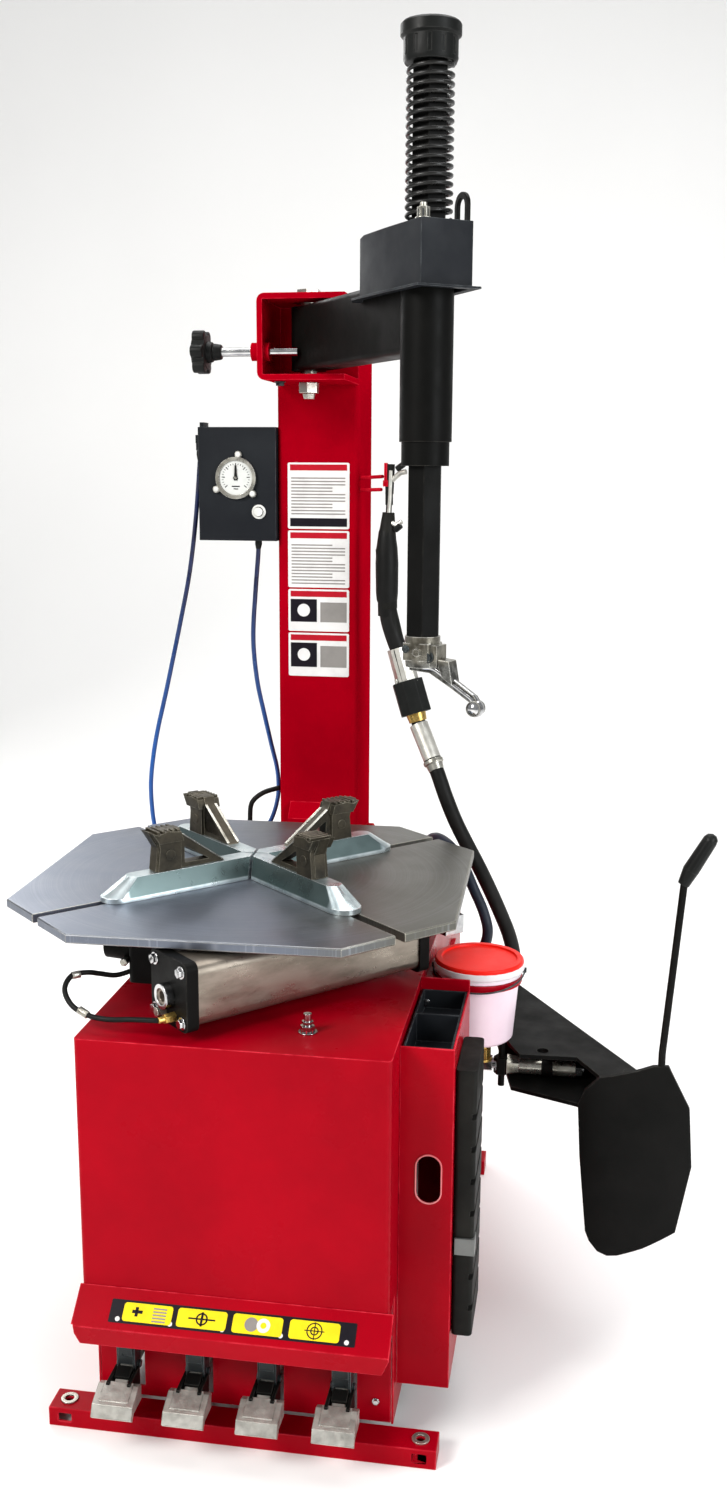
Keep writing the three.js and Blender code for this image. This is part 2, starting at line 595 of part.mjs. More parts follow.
// ---- bead breaker -------------------------------------------------------------------------
function beadArm() {
  const { top, bottom, plate } = BEAD;
  const [hx, hy] = HINGE;
  const far = [[hx - 26, hy - 12], [hx + 24, hy + 22], [389, 258], [577, -60], [562, -92]];
  const upper = outline([...far, [525, -92], [487, -24], [404, -27], [384, 18], [350, 180]]);
  const lower = outline([...far, [521, -92], [393, -40], [350, 180]]);
  const plates = join(plateZ(upper, top - plate, top), plateZ(lower, bottom, bottom + plate));
  const web = plateZ(outline([[hx + 24, hy + 22], [389, 258], [577, -60], [562, -92],
    [555, -88], [569, -60], [382, 255], [hx + 22, hy + 14]]), bottom, top);
  const hub = rod(27, [hx, hy, bottom - 30], [hx, hy, top], 24);
  const [px, py] = BLADE.pin;
  const lug = join(rod(13.5, [px, py, bottom], [px, py, top], 20),
    block(px - 12, px + 12, py, py + 20, bottom, top));
  const drilled = join(plates, web, hub, lug)
    .subtract(rod(12.4, [hx, hy, bottom - 50], [hx, hy, top + 20], 20))
    .subtract(rod(9, [437, -8, top - 20], [437, -8, top + 20], 14));
  return drilled.subtract(rod(8.4, [px, py, bottom - 10], [px, py, top + 10], 16));
}

function hingeBracket() {
  const [hx, hy] = HINGE;
  const { top, bottom } = BEAD;
  const x0 = CAB.right + GAP;
  const wall = block(x0, x0 + 6, hy - 40, hy + 40, bottom - 70, top + 30);
  const ears = join(block(x0, hx, hy - 26, hy + 26, bottom - 46, bottom - 30 - GAP),
    block(x0, hx, hy - 26, hy + 26, top + GAP, top + 16));
  const ends = join(rod(26, [hx, hy, bottom - 46], [hx, hy, bottom - 30 - GAP], 24),
    rod(26, [hx, hy, top + GAP], [hx, hy, top + 16], 24));
  const pin = rod(12, [hx, hy, bottom - 40], [hx, hy, top + 22], 20);
  return join(wall, ears, ends, pin);
}

// A curved pressing plate: a slice of a tall hoop, trimmed to the outline of the shoe.
function beadBlade() {
  const { x, y, z } = BLADE;
  const radius = 190;
  const hoop = rod(radius, [x, y + radius, z - 170], [x, y + radius, z + 170], 96)
    .subtract(rod(radius - 7, [x, y + radius, z - 180], [x, y + radius, z + 180], 96));
  const shoe = outline([[-77, 92], [-57, 116], [-8, 133], [15, 142], [36, 142], [68, 77],
    [75, -11], [57, -110], [12, -135], [-23, -150], [-37, -153], [-51, -149], [-63, -136],
    [-69, -122], [-81, -10], [-86, 67]].map(([u, v]) => [x + u, z + v]));
  const plate = plateY(shoe, y - 5, y + 70).intersect(hoop);
  const { top, bottom } = BEAD;
  const [px, py] = BLADE.pin;
  const tongue = block(px - 8, px + 8, y + 3, py - 14.2, bottom - 12, top + 12);
  const forks = join(block(px - 8, px + 8, py - 22, py, top + GAP, top + 12),
    block(px - 8, px + 8, py - 22, py, bottom - 12, bottom - GAP));
  const pin = rod(8, [px, py, bottom - 12], [px, py, top + 16], 16);
  return join(plate, tongue, forks, pin);
}

const HANDLE = { x: 603, y: -118.7, bottom: 485.4, elbow: 505, lean: 0.07, top: 755 };

function handleBar(radius) {
  const { x, y, bottom, elbow, lean, top } = HANDLE;
  return join(rod(radius, [x, y, bottom], [x, y, elbow], 12),
    rod(radius, [x, y, elbow - 1], [x + lean * (top - elbow), y, top], 12));
}

function handleGrip() {
  const { y } = HANDLE;
  const low = rod(8, [619, y, 747], [628, y, 768], 14, 11);
  const high = rod(11, [627.6, y, 767], [650, y, 808], 14, 10);
  const tip = toSolid(new THREE.SphereGeometry(10.2, 10, 6).translate(650.5, y, 809));
  return join(low, high, tip).subtract(handleBar(5.3 + GAP));
}

function beadRod() {
  const z = 417;
  const bar = rod(8, [150, 5, z], [498, 5, z], 16);
  const nuts = join(rod(13, [349, 5, z], [362, 5, z], 6), rod(13, [367, 5, z], [378, 5, z], 6),
    rod(12, [484, 5, z], [496, 5, z], 6));
  return join(bar, nuts);
}

function beadCylinder() {
  const z = 417;
  const can = rod(78, [64, 5, z], [240, 5, z], 24)
    .subtract(rod(74, [70, 5, z], [234, 5, z], 24));
  const bore = rod(9, [200, 5, z], [250, 5, z], 16);
  return can.subtract(bore);
}

// ---- drive --------------------------------------------------------------------------------
function driveMotor() {
  const can = rod(62, [-70, 200, 90], [-70, 200, 280], 24);
  const base = block(-125, -15, 150, 250, 60, 92);
  const shaft = rod(9, [-70, 200, 278], [-70, 200, 320], 14);
  const pulley = rod(30, [-70, 200, 296], [-70, 200, 316], 20);
  return join(can, base, shaft, pulley);
}

function gearbox() {
  const housing = block(-110, 50, -80, 80, 340, 440);
  const shaftBore = rod(23, [0, 0, 320], [0, 0, 460], 28);
  const lugs = join(block(-147, 56, -60, -30, 428, 440), block(-147, 56, 30, 60, 428, 440));
  const input = join(rod(10, [-60, 60, 270], [-60, 60, 345], 14),
    rod(44, [-60, 60, 290], [-60, 60, 312], 24));
  return join(housing, lugs, input).subtract(shaftBore);
}

// ---- lubricant pail -----------------------------------------------------------------------
const PAIL = { x: 339, y: 3, bottom: 461, top: 578 };

function pail() {
  const { x, y, bottom, top } = PAIL;
  const outside = turned([[0, bottom], [48, bottom], [52, bottom + 4], [60, top - 16],
    [63, top - 16], [63, top - 8], [61, top - 8], [61.5, top], [0, top]], x, y, 28);
  const inside = turned([[0, bottom + 2.5], [48, bottom + 2.5], [58, top + 5], [0, top + 5]],
    x, y, 28);
  return outside.subtract(inside);
}

function pailLid() {
  const { x, y, top } = PAIL;
  const outside = turned([[0, top + GAP], [58, top + GAP], [58, top - 6], [66, top - 6],
    [66, top + 4], [64, top + 7], [56, top + 7], [55, top + 4], [0, top + 4]], x, y, 28);
  return outside.subtract(turned([[0, top - 20], [61.9, top - 20], [61.9, top + GAP],
    [0, top + GAP]], x, y, 28));
}

function pailRing() {
  const { x, y, top } = PAIL;
  const z = top - 17;
  const band = rod(64, [x, y, z - 10], [x, y, z], 28);
  const bore = rod(61.5, [x, y, z - 20], [x, y, z + 20], 28);
  const arms = block(CAB.right + GAP, x - 50, y - 44, y + 44, z - 6, z);
  const plate = block(CAB.right + GAP, CAB.right + 5, y - 50, y + 50, z - 40, z);
  return join(band, arms, plate).subtract(bore);
}

// ---- hoses and blast gun ------------------------------------------------------------------
function blastGun() {
  const y = 352;
  const handle = join(rod(5, [149, y, 1296], [146, y, 1214], 10),
    rod(10, [146, y, 1220], [143, y, 1156], 14, 18),
    rod(18, [143, y, 1160], [146, y, 1062], 14, 16),
    rod(14, [146, y, 1066], [167, y, 990], 14, 12));
  const valve = join(rod(18, [165, y, 994], [182, y - 6, 938], 12),
    rod(25, [181, y - 5, 940], [198, y - 14, 888], 16),
    rod(12, [196, y - 13, 892], [205, y - 18, 866], 12),
    rod(15, [204, y - 17, 868], [230, y - 38, 814], 16));
  const band = rod(7, [149, y, 1298], [147, y, 1250], 8);
  return join(handle, valve, band);
}

const HOSE_ROUTES = {
  gauge_hose_left: { radius: 4, steps: 34, sides: 8, points: [[-198, 440, 1319.6],
    [-199, 440, 1300], [-208, 436, 1193], [-219, 430, 1106], [-235, 420, 1019],
    [-256, 405, 911], [-277, 388, 802], [-283, 380, 720], [-270, 384, 620], [-226, 410, 520],
    [-180, 430, 471], [-151.7, 430, 470.5]] },
  gauge_hose_right: { radius: 4, steps: 30, sides: 8, points: [[-86, 401, 1168.6], [-87, 401, 1146],
    [-92, 402, 1090], [-98, 404, 1000], [-93, 409, 925], [-84, 419, 868], [-75, 438, 805],
    [-69, 460, 750], [-72, 472, 700], [-88, 474, 652], [-110, 468, 624], [-125, 460, 603],
    [-131, 457, 586], [-131, 457, 574.6]] },
  supply_hose: { radius: 9, steps: 32, sides: 8, points: [[205, 380, 574.5], [205, 380, 600],
    [208, 375.2, 630], [216.5, 361.6, 656], [229, 341.6, 672], [245, 316, 678], [267, 291, 670],
    [289, 270, 647], [308, 253, 613], [326, 243, 577], [334, 240, 545], [328.5, 241.5, 517.4],
    [312.9, 243.5, 494.1], [289.6, 245, 478.5], [275, 246, 473.4], [262.9, 246, 473]] },
  blast_hose: { radius: 12.5, steps: 34, sides: 10, points: [[230.2, 313.8, 813.5],
    [241, 304.8, 790.5], [254, 299, 757], [271, 301, 715], [290, 310, 674], [309, 327, 632],
    [328, 348, 585], [347, 370, 534], [363, 389, 485], [370, 402, 440], [362.4, 411, 401.7],
    [340.7, 419, 369.3], [308.3, 426, 347.6], [276, 430, 340.6], [262.7, 430, 340]] },
};

// ---- assembly -----------------------------------------------------------------------------
const machine = new THREE.Group();

function addPart(name, solid, material) {
  const mesh = new THREE.Mesh(toGeometry(solid), material());
  mesh.name = name;
  machine.add(mesh);
}

addPart('cabinet_body', cabinetBody(), redPaint);
addPart('pedal_plate', pedalPlate(), redPaint);
addPart('front_hood', frontHood(), redPaint);
addPart('foot_bar_front', footBar(-362, PLATE_Y - 1), redPaint);
addPart('foot_bar_rear', footBar(440, 482), redPaint);
addPart('side_box', sideBox(), redPaint);
addPart('tool_tray', toolTray(), greyPaint);
addPart('rest_pad', restPad(), rubber);
PEDAL_X.forEach((x, i) => addPart(`pedal_${i + 1}`, pedal(x), castAluminium));

addPart('turntable_plate', turntablePlate(), machinedSteel);
addPart('turntable_spindle', spindle(), machinedSteel);
addPart('link_plate', linkPlate(), darkPaint);
for (let k = 0; k < 4; k += 1) {
  addPart(`jaw_slide_${k + 1}`, slide(k), zincSteel);
  addPart(`jaw_${k + 1}`, jaw(k), castSteel);
}
[0, Math.PI].forEach((turn, i) => {
  addPart(`cylinder_barrel_${i + 1}`, cylinderBarrel(turn), barrelAlloy);
  addPart(`cylinder_rod_${i + 1}`, cylinderRod(turn), chrome);
});

addPart('column', column(), redPaint);
addPart('column_head', columnHead(), redPaint);
addPart('pivot_bolt', pivotBolt(), zincSteel);
addPart('limit_screw', limitScrew(), chrome);
addPart('limit_knob', limitKnob(), blackPlastic);
addPart('swing_arm', swingArm(), darkPaint);
addPart('hex_shaft', hexShaft(), darkPaint);
addPart('lift_spring', liftSpring(), darkPaint);
addPart('top_cap', topCap(), blackPlastic);
addPart('lock_cover', lockCover(), greyPaint);
addPart('lock_handle', lockHandle(), darkPaint);
addPart('mount_head', mountHead(), zincSteel);

addPart('gauge_box', gaugeBox(), greyPaint);
addPart('gauge_dial', gaugeDial(), dialFace);
addPart('gauge_needle', gaugeNeedle(), blackPlastic);
addPart('release_button', releaseButton(), whitePlastic);

addPart('bead_arm', beadArm(), darkPaint);
addPart('hinge_bracket', hingeBracket(), redPaint);
addPart('bead_blade', beadBlade(), darkPaint);
addPart('bead_handle', handleBar(5), darkPaint);
addPart('handle_grip', handleGrip(), blackPlastic);
addPart('bead_rod', beadRod(), chrome);
addPart('bead_cylinder', beadCylinder(), barrelAlloy);

addPart('drive_motor', driveMotor(), greyPaint);
addPart('gearbox', gearbox(), castAluminium);
addPart('pail', pail(), whitePlastic);
addPart('pail_lid', pailLid(), lidPlastic);
addPart('pail_ring', pailRing(), redPaint);
addPart('blast_gun', blastGun(), rubber);

for (const [name, route] of Object.entries(HOSE_ROUTES)) {
  const material = name === 'blast_hose' ? rubber : bluePlastic;
  addPart(name, cable(route.points, route.radius, route.steps, route.sides), material);
}

machine.position.set(...SHIFT);

export default machine;
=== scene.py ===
"""Looks of the swing-arm tire changer.

Lengths in the drawing functions are millimetres in the cabinet frame: the origin is on the floor
under the turntable axis, +X to the right of the front panel, +Y to the back. at() turns them into
the row frame's metres.
"""
import math

import bmesh
import bpy
from mathutils import Matrix, Vector


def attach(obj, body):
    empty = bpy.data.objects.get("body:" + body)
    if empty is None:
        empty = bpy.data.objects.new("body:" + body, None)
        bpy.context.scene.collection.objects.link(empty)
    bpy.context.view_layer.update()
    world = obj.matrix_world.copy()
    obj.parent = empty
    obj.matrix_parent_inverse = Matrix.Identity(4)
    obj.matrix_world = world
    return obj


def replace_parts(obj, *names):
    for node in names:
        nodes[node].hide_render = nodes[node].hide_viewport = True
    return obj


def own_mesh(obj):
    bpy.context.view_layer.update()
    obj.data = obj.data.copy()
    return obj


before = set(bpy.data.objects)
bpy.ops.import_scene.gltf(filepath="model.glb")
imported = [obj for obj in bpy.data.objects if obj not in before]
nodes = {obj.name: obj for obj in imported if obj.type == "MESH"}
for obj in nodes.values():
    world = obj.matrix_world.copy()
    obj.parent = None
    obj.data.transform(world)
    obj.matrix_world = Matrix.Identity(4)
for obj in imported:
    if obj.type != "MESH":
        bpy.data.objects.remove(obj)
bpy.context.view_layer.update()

# Driving dimensions, as in the CAD.
SHIFT = Vector((-170, -64.5, 0))
JAW_TURN = 0.02 + math.pi / 4
CYLINDER_Y, CYLINDER_Z = -208, 634
COLUMN_FRONT = 395
PIVOT_X, PIVOT_Y = 19, 322
ARM_ANGLE, ARM_LENGTH = -0.976, 413
SCREW_Y, SCREW_Z = 275, 1470
PEDAL_X = (-101, -4, 95, 196)
SHAFT_BOTTOM = 1062
SHAFT = Vector((PIVOT_X + ARM_LENGTH * math.cos(ARM_ANGLE),
                PIVOT_Y + ARM_LENGTH * math.sin(ARM_ANGLE), 0))

SHARP_ANGLE = math.radians(34)
HOSE_POINTS = 36


def at(x, y, z):
    """A point of the cabinet frame in the row frame's metres."""
    return (Vector((x, y, z)) + SHIFT) / 1000


def srgb(r, g, b):
    """Linear colour from 0-255 display values."""
    return tuple(((c / 255 + 0.055) / 1.055) ** 2.4 if c > 10 else c / 255 / 12.92 for c in (r, g, b))


# ---- materials ------------------------------------------------------------------------------
def add_node(tree, kind, **inputs):
    """A shader node with its inputs set or linked. An underscore in a name stands for a space."""
    node = tree.nodes.new("ShaderNode" + kind)
    for name, value in inputs.items():
        socket = node.inputs[name.replace("_", " ")]
        if isinstance(value, bpy.types.NodeSocket):
            tree.links.new(value, socket)
        else:
            socket.default_value = value
    return node


def new_material(name, color, roughness, metallic=0.0, specular=0.5):
    material = bpy.data.materials.new(name)
    material.use_nodes = True
    material.diffuse_color = (*color, 1)
    shader = material.node_tree.nodes["Principled BSDF"]
    shader.inputs["Base Color"].default_value = (*color, 1)
    shader.inputs["Roughness"].default_value = roughness
    shader.inputs["Metallic"].default_value = metallic
    shader.inputs["Specular IOR Level"].default_value = specular
    return material, material.node_tree, shader


def position(tree):
    """Where the shaded point is, in the row frame's metres."""
    return add_node(tree, "TexCoord").outputs["Object"]


def height(tree):
    return add_node(tree, "SeparateXYZ", Vector=position(tree)).outputs["Z"]


def from_table_axis(tree):
    """The level vector from the turntable's axis to the shaded point, and its length."""
    away = add_node(tree, "Mapping", Vector=position(tree),
                    Location=(-SHIFT.x / 1000, -SHIFT.y / 1000, 0), Scale=(1, 1, 0)).outputs["Vector"]
    length = tree.nodes.new("ShaderNodeVectorMath")
    length.operation = "LENGTH"
    tree.links.new(away, length.inputs[0])
    return away, length.outputs["Value"]


def noise(tree, scale, detail=3.0, stretch=(1, 1, 1), rough=0.5):
    mapped = add_node(tree, "Mapping", Vector=position(tree), Scale=stretch).outputs["Vector"]
    texture = add_node(tree, "TexNoise", Vector=mapped, Scale=scale, Detail=detail, Roughness=rough)
    return texture.outputs["Fac"]


def remap(tree, value, low, high, a=0.0, b=1.0):
    node = tree.nodes.new("ShaderNodeMapRange")
    tree.links.new(value, node.inputs["Value"])
    for name, number in (("From Min", low), ("From Max", high), ("To Min", a), ("To Max", b)):
        node.inputs[name].default_value = number
    return node.outputs["Result"]


def mix(tree, factor, a, b):
    node = tree.nodes.new("ShaderNodeMix")
    node.data_type = "RGBA"
    for socket, value in ((node.inputs["Factor"], factor), (node.inputs[6], a), (node.inputs[7], b)):
        if isinstance(value, bpy.types.NodeSocket):
            tree.links.new(value, socket)
        elif isinstance(value, (tuple, list)):
            socket.default_value = (*value, 1)
        else:
            socket.default_value = value
    return node.outputs[2]


def math_node(tree, operation, a, b=0.0):
    node = tree.nodes.new("ShaderNodeMath")
    node.operation = operation
    for socket, value in ((node.inputs[0], a), (node.inputs[1], b)):
        if isinstance(value, bpy.types.NodeSocket):
            tree.links.new(value, socket)
        else:
            socket.default_value = value
    return node.outputs[0]


def add_bump(tree, shader, height, depth):
    """Depth is in metres from the lowest to the highest point of the height field."""
    bump = add_node(tree, "Bump", Height=height, Distance=depth, Strength=1.0)
    tree.links.new(bump.outputs["Normal"], shader.inputs["Normal"])


def edge_mask(tree, radius, sharpness=0.06):
    """1 along convex and concave edges, from the difference a rounded normal makes there."""
    bevel = tree.nodes.new("ShaderNodeBevel")
    bevel.samples = 4
    bevel.inputs["Radius"].default_value = radius
    dot = tree.nodes.new("ShaderNodeVectorMath")
    dot.operation = "DOT_PRODUCT"
    tree.links.new(bevel.outputs["Normal"], dot.inputs[0])
    tree.links.new(add_node(tree, "NewGeometry").outputs["Normal"], dot.inputs[1])
    return remap(tree, dot.outputs["Value"], 1.0, 1.0 - sharpness)


def finish(name, color, worn, roughness, metallic=0.0, specular=0.5, patch=9.0, grain=700.0,
           depth=0.00008, spread=0.12, edge=None, edge_radius=0.0015, stretch=(1, 1, 1)):
    """A surface with patches of a second colour, uneven gloss, a fine grain, and edges mixed towards the
    edge colour, which is partly rubbed wear and partly a painted highlight.
    """
    material, tree, shader = new_material(name, color, roughness, metallic, specular)
    patches = remap(tree, noise(tree, patch, 6.0, stretch, 0.62), 0.42, 0.72)
    tone = mix(tree, patches, color, worn)
    if edge:
        # Edge colour along the bevels: rubbed wear plus a painted edge highlight.
        wear_and_highlight = math_node(tree, "MULTIPLY", edge_mask(tree, edge_radius),
                           remap(tree, noise(tree, 60.0, 4.0), 0.42, 0.62, 0.25, 1.0))
        tone = mix(tree, wear_and_highlight, tone, edge)
    tree.links.new(tone, shader.inputs["Base Color"])
    smudge = noise(tree, patch * 2.6, 5.0, stretch, 0.6)
    low, high = max(0.03, roughness - spread), min(1.0, roughness + spread)
    tree.links.new(remap(tree, smudge, 0.3, 0.7, low, high), shader.inputs["Roughness"])
    add_bump(tree, shader, noise(tree, grain, 2.0, stretch), depth)
    return material


def turned_steel():
    """Faced steel of the table: faint rings round the axis, a painted reflection in two tones (cool bluish
    to the left and front, warm grey to the right and back) and scratches.
    """
    cool_reflection, warm_reflection = srgb(112, 118, 130), srgb(100, 99, 93)
    material, tree, shader = new_material("turned_steel", cool_reflection, 0.36, 0.9)
    away, radius = from_table_axis(tree)
    rings = tree.nodes.new("ShaderNodeTexNoise")
    rings.noise_dimensions = "1D"
    tree.links.new(math_node(tree, "MULTIPLY", radius, 900.0), rings.inputs["W"])
    rings.inputs["Scale"].default_value = 1.0
    # Painted reflection: cool bluish towards the left and front, warm grey towards the right and back, with
    # a wandering border.
    parts = add_node(tree, "SeparateXYZ", Vector=away)
    side = math_node(tree, "ADD", parts.outputs["X"],
                     math_node(tree, "MULTIPLY", parts.outputs["Y"], 0.35))
    reflection_wander = remap(tree, noise(tree, 5.0, 4.0), 0.3, 0.7, -0.06, 0.06)
    reflection_side = math_node(tree, "ADD", side, reflection_wander)
    tone = mix(tree, remap(tree, reflection_side, -0.02, 0.16), cool_reflection, warm_reflection)
    ring_gloss = remap(tree, rings.outputs["Fac"], 0.55, 0.8, 0.0, 0.25)
    tone = mix(tree, ring_gloss, tone, srgb(190, 194, 202))
    scratches = remap(tree, noise(tree, 26.0, 6.0, (1, 14, 1), 0.7), 0.66, 0.78, 0.0, 0.35)
    tone = mix(tree, scratches, tone, srgb(205, 208, 214))
    # Lighter edges: painted highlight plus rubbed wear.
    tone = mix(tree, edge_mask(tree, 0.0018), tone, srgb(196, 192, 178))
    tree.links.new(tone, shader.inputs["Base Color"])
    gloss = math_node(tree, "ADD", remap(tree, rings.outputs["Fac"], 0.3, 0.7, 0.28, 0.42),
                      remap(tree, noise(tree, 11.0, 4.0), 0.35, 0.7, 0.0, 0.12))
    tree.links.new(gloss, shader.inputs["Roughness"])
    add_bump(tree, shader, rings.outputs["Fac"], 0.00006)
    return material


def zinc_with_painted_slopes():
    """Zinc of the jaw slides: bright on top and round the nose, with a painted reflection that turns the
    slopes dull green-grey.
    """
    bright, slope_reflection_tone = srgb(206, 216, 218), srgb(96, 112, 112)
    material, tree, shader = new_material("slide_zinc", bright, 0.24, 0.85)
    normal = add_node(tree, "SeparateXYZ", Vector=add_node(tree, "NewGeometry").outputs["Normal"])
    slope = math_node(tree, "ABSOLUTE", math_node(tree, "SUBTRACT", normal.outputs["Z"], 0.4))
    sloping = remap(tree, slope, 0.16, 0.08)
    behind_nose = remap(tree, from_table_axis(tree)[1], 0.226, 0.220)
    # Painted reflection: faces that slope sideways get the darker green-grey, except round the nose.
    slope_reflection_mask = math_node(tree, "MULTIPLY", sloping, behind_nose)
    clouds = remap(tree, noise(tree, 40.0, 5.0), 0.4, 0.7)
    tone = mix(tree, slope_reflection_mask, mix(tree, clouds, bright, srgb(168, 182, 186)), slope_reflection_tone)
    # Nearly white edges: painted highlight plus rubbed wear.
    tone = mix(tree, edge_mask(tree, 0.0012), tone, srgb(236, 240, 240))
    tree.links.new(tone, shader.inputs["Base Color"])
    gloss = remap(tree, noise(tree, 30.0, 4.0), 0.3, 0.7, 0.22, 0.4)
    tree.links.new(gloss, shader.inputs["Roughness"])
    add_bump(tree, shader, noise(tree, 500.0, 2.0, (1, 1, 0.2)), 0.00004)
    return material


def head_metal():
    """Mount head: pale cast collar above, darker polished steel towards the finger."""
    pale, dark = srgb(152, 148, 136), srgb(86, 82, 72)
    material, tree, shader = new_material("head_metal", pale, 0.3, 0.9)
    lower = remap(tree, height(tree), 1.032, 1.020)
    cast = mix(tree, remap(tree, noise(tree, 60.0, 5.0), 0.35, 0.65), pale, dark)
    polished = mix(tree, remap(tree, noise(tree, 90.0, 3.0), 0.4, 0.6), srgb(128, 128, 124),
                   srgb(64, 63, 60))
    tone = mix(tree, lower, cast, polished)
    # Lighter edges: painted highlight plus rubbed wear.
    tone = mix(tree, edge_mask(tree, 0.0014), tone, srgb(222, 220, 212))
    tree.links.new(tone, shader.inputs["Base Color"])
    gloss = remap(tree, noise(tree, 45.0, 3.0), 0.3, 0.7, 0.2, 0.42)
    tree.links.new(gloss, shader.inputs["Roughness"])
    add_bump(tree, shader, noise(tree, 420.0, 2.0), 0.00015)
    return material


def tube_blue():
    """Blue air tube: painted shade makes it nearly black at the top, clearer blue further down where the
    light reaches it.
    """
    material, tree, shader = new_material("tube_blue", srgb(26, 70, 140), 0.3)
    # Painted shade: darker towards the top of the tube.
    top_shade = remap(tree, height(tree), 0.78, 1.1)
    tone = mix(tree, top_shade, srgb(28, 84, 158), srgb(16, 22, 58))
    tone = mix(tree, remap(tree, noise(tree, 30.0, 4.0), 0.45, 0.7, 0.0, 0.4), tone, srgb(18, 50, 110))
    tree.links.new(tone, shader.inputs["Base Color"])
    tree.links.new(remap(tree, noise(tree, 22.0), 0.3, 0.7, 0.22, 0.42), shader.inputs["Roughness"])
    add_bump(tree, shader, noise(tree, 900.0, 2.0), 0.00004)
    return material


def plain_print(name, color, roughness=0.45):
    """Printed film: slightly uneven ink under a satin skin."""
    darker = tuple(c * 0.86 for c in color)
    return finish(name, color, darker, roughness, specular=0.12, patch=30.0, grain=1500.0,
                  depth=0.00002, spread=0.08)


RED = finish("red_powder_coat", srgb(162, 0, 21), srgb(138, 0, 17), 0.3, specular=0.05, patch=3.2,
             grain=420.0, depth=0.00006, spread=0.06, edge=srgb(226, 60, 76), edge_radius=0.0022)
COLUMN_RED = finish("column_powder_coat", srgb(166, 0, 21), srgb(136, 0, 16), 0.4, specular=0.0,
                    patch=2.6, grain=420.0, depth=0.00006, spread=0.06, edge=srgb(214, 40, 58),
                    edge_radius=0.0022)
BLACK = finish("black_powder_coat", srgb(12, 12, 11), srgb(19, 18, 17), 0.46, specular=0.06, patch=7.0,
               grain=600.0, depth=0.0001, edge=srgb(62, 60, 56))
SPRING_BLACK = finish("spring_enamel", srgb(17, 17, 16), srgb(30, 29, 27), 0.3, specular=0.35,
                      patch=20.0, grain=800.0, depth=0.00005)
CHARCOAL = finish("charcoal_powder_coat", srgb(27, 29, 33), srgb(35, 38, 41), 0.48, specular=0.08,
                  patch=6.0, grain=700.0, depth=0.0001, edge=srgb(88, 92, 94))
TABLE_STEEL = turned_steel()
SLIDE_ZINC = zinc_with_painted_slopes()
HEAD_METAL = head_metal()
ZINC = finish("zinc_plate", srgb(184, 182, 172), srgb(120, 116, 104), 0.3, metallic=0.85, patch=26.0,
              grain=500.0, edge=srgb(226, 224, 216))
CAST = finish("dark_cast_steel", srgb(74, 68, 56), srgb(38, 36, 31), 0.5, metallic=0.7, patch=34.0,
              grain=260.0, depth=0.0003, edge=srgb(160, 154, 136), edge_radius=0.0012)
ALLOY = finish("cast_aluminium", srgb(206, 204, 196), srgb(164, 161, 153), 0.4, metallic=0.8,
               patch=30.0, grain=520.0, depth=0.0002, edge=srgb(120, 117, 108), edge_radius=0.0016)
BARREL = finish("drawn_barrel", srgb(150, 140, 128), srgb(100, 92, 80), 0.34, metallic=0.8, patch=9.0,
                grain=300.0, depth=0.00006, stretch=(1, 1, 3), spread=0.14)
CHROME = finish("chrome", srgb(206, 206, 206), srgb(150, 150, 152), 0.14, metallic=1.0, patch=40.0,
                grain=900.0, depth=0.00001, spread=0.05)
BRASS = finish("brass", srgb(206, 172, 96), srgb(150, 118, 60), 0.3, metallic=0.9, patch=50.0)
RUBBER = finish("black_rubber", srgb(20, 20, 18), srgb(34, 33, 30), 0.6, specular=0.1, patch=12.0,
                grain=900.0, depth=0.00015)
HOSE_BLACK = finish("hose_rubber", srgb(15, 15, 14), srgb(28, 27, 26), 0.48, specular=0.14, patch=14.0,
                    grain=1100.0, depth=0.0001)
BLUE = tube_blue()
HOSE_NAVY = finish("hose_navy", srgb(30, 36, 48), srgb(44, 50, 62), 0.45, specular=0.3, patch=14.0,
                   grain=1100.0, depth=0.00008)
PLASTIC = finish("black_plastic", srgb(18, 19, 18), srgb(29, 30, 29), 0.42, specular=0.13, patch=14.0,
                 grain=1200.0, depth=0.00006, edge=srgb(60, 60, 58))
DARK_BRACKET = finish("dark_bracket", srgb(40, 46, 48), srgb(24, 27, 28), 0.38, metallic=0.4, patch=40.0,
                      edge=srgb(96, 104, 106))
PAIL = finish("pail_plastic", srgb(250, 228, 238), srgb(244, 216, 230), 0.35, patch=10.0, grain=700.0,
              depth=0.00005, spread=0.08)
PAIL_WHITE = finish("rim_plastic", srgb(240, 234, 236), srgb(222, 216, 218), 0.35, patch=12.0)
LID = finish("lid_plastic", srgb(250, 34, 22), srgb(232, 24, 16), 0.36, specular=0.16, patch=8.0,
             grain=800.0, depth=0.00006, spread=0.06)
BUTTON = finish("button_plastic", srgb(236, 236, 232), srgb(210, 210, 204), 0.35, patch=30.0)
PALE_LIP = finish("pale_lip", srgb(206, 92, 96), srgb(226, 150, 150), 0.4)
CLIP_GREY = finish("clip_grey", srgb(112, 114, 112), srgb(84, 86, 84), 0.4, metallic=0.5)
DIAL_WHITE = plain_print("dial_white", srgb(216, 218, 214), 0.3)
INK = plain_print("print_black", srgb(22, 18, 26), 0.4)
LABEL = plain_print("label_white", srgb(226, 224, 222), 0.4)
LABEL_RED = plain_print("label_red", srgb(176, 18, 36), 0.4)
YELLOW = plain_print("tile_yellow", srgb(238, 214, 28), 0.35)
GREY_INK = plain_print("print_grey", srgb(140, 136, 132), 0.45)


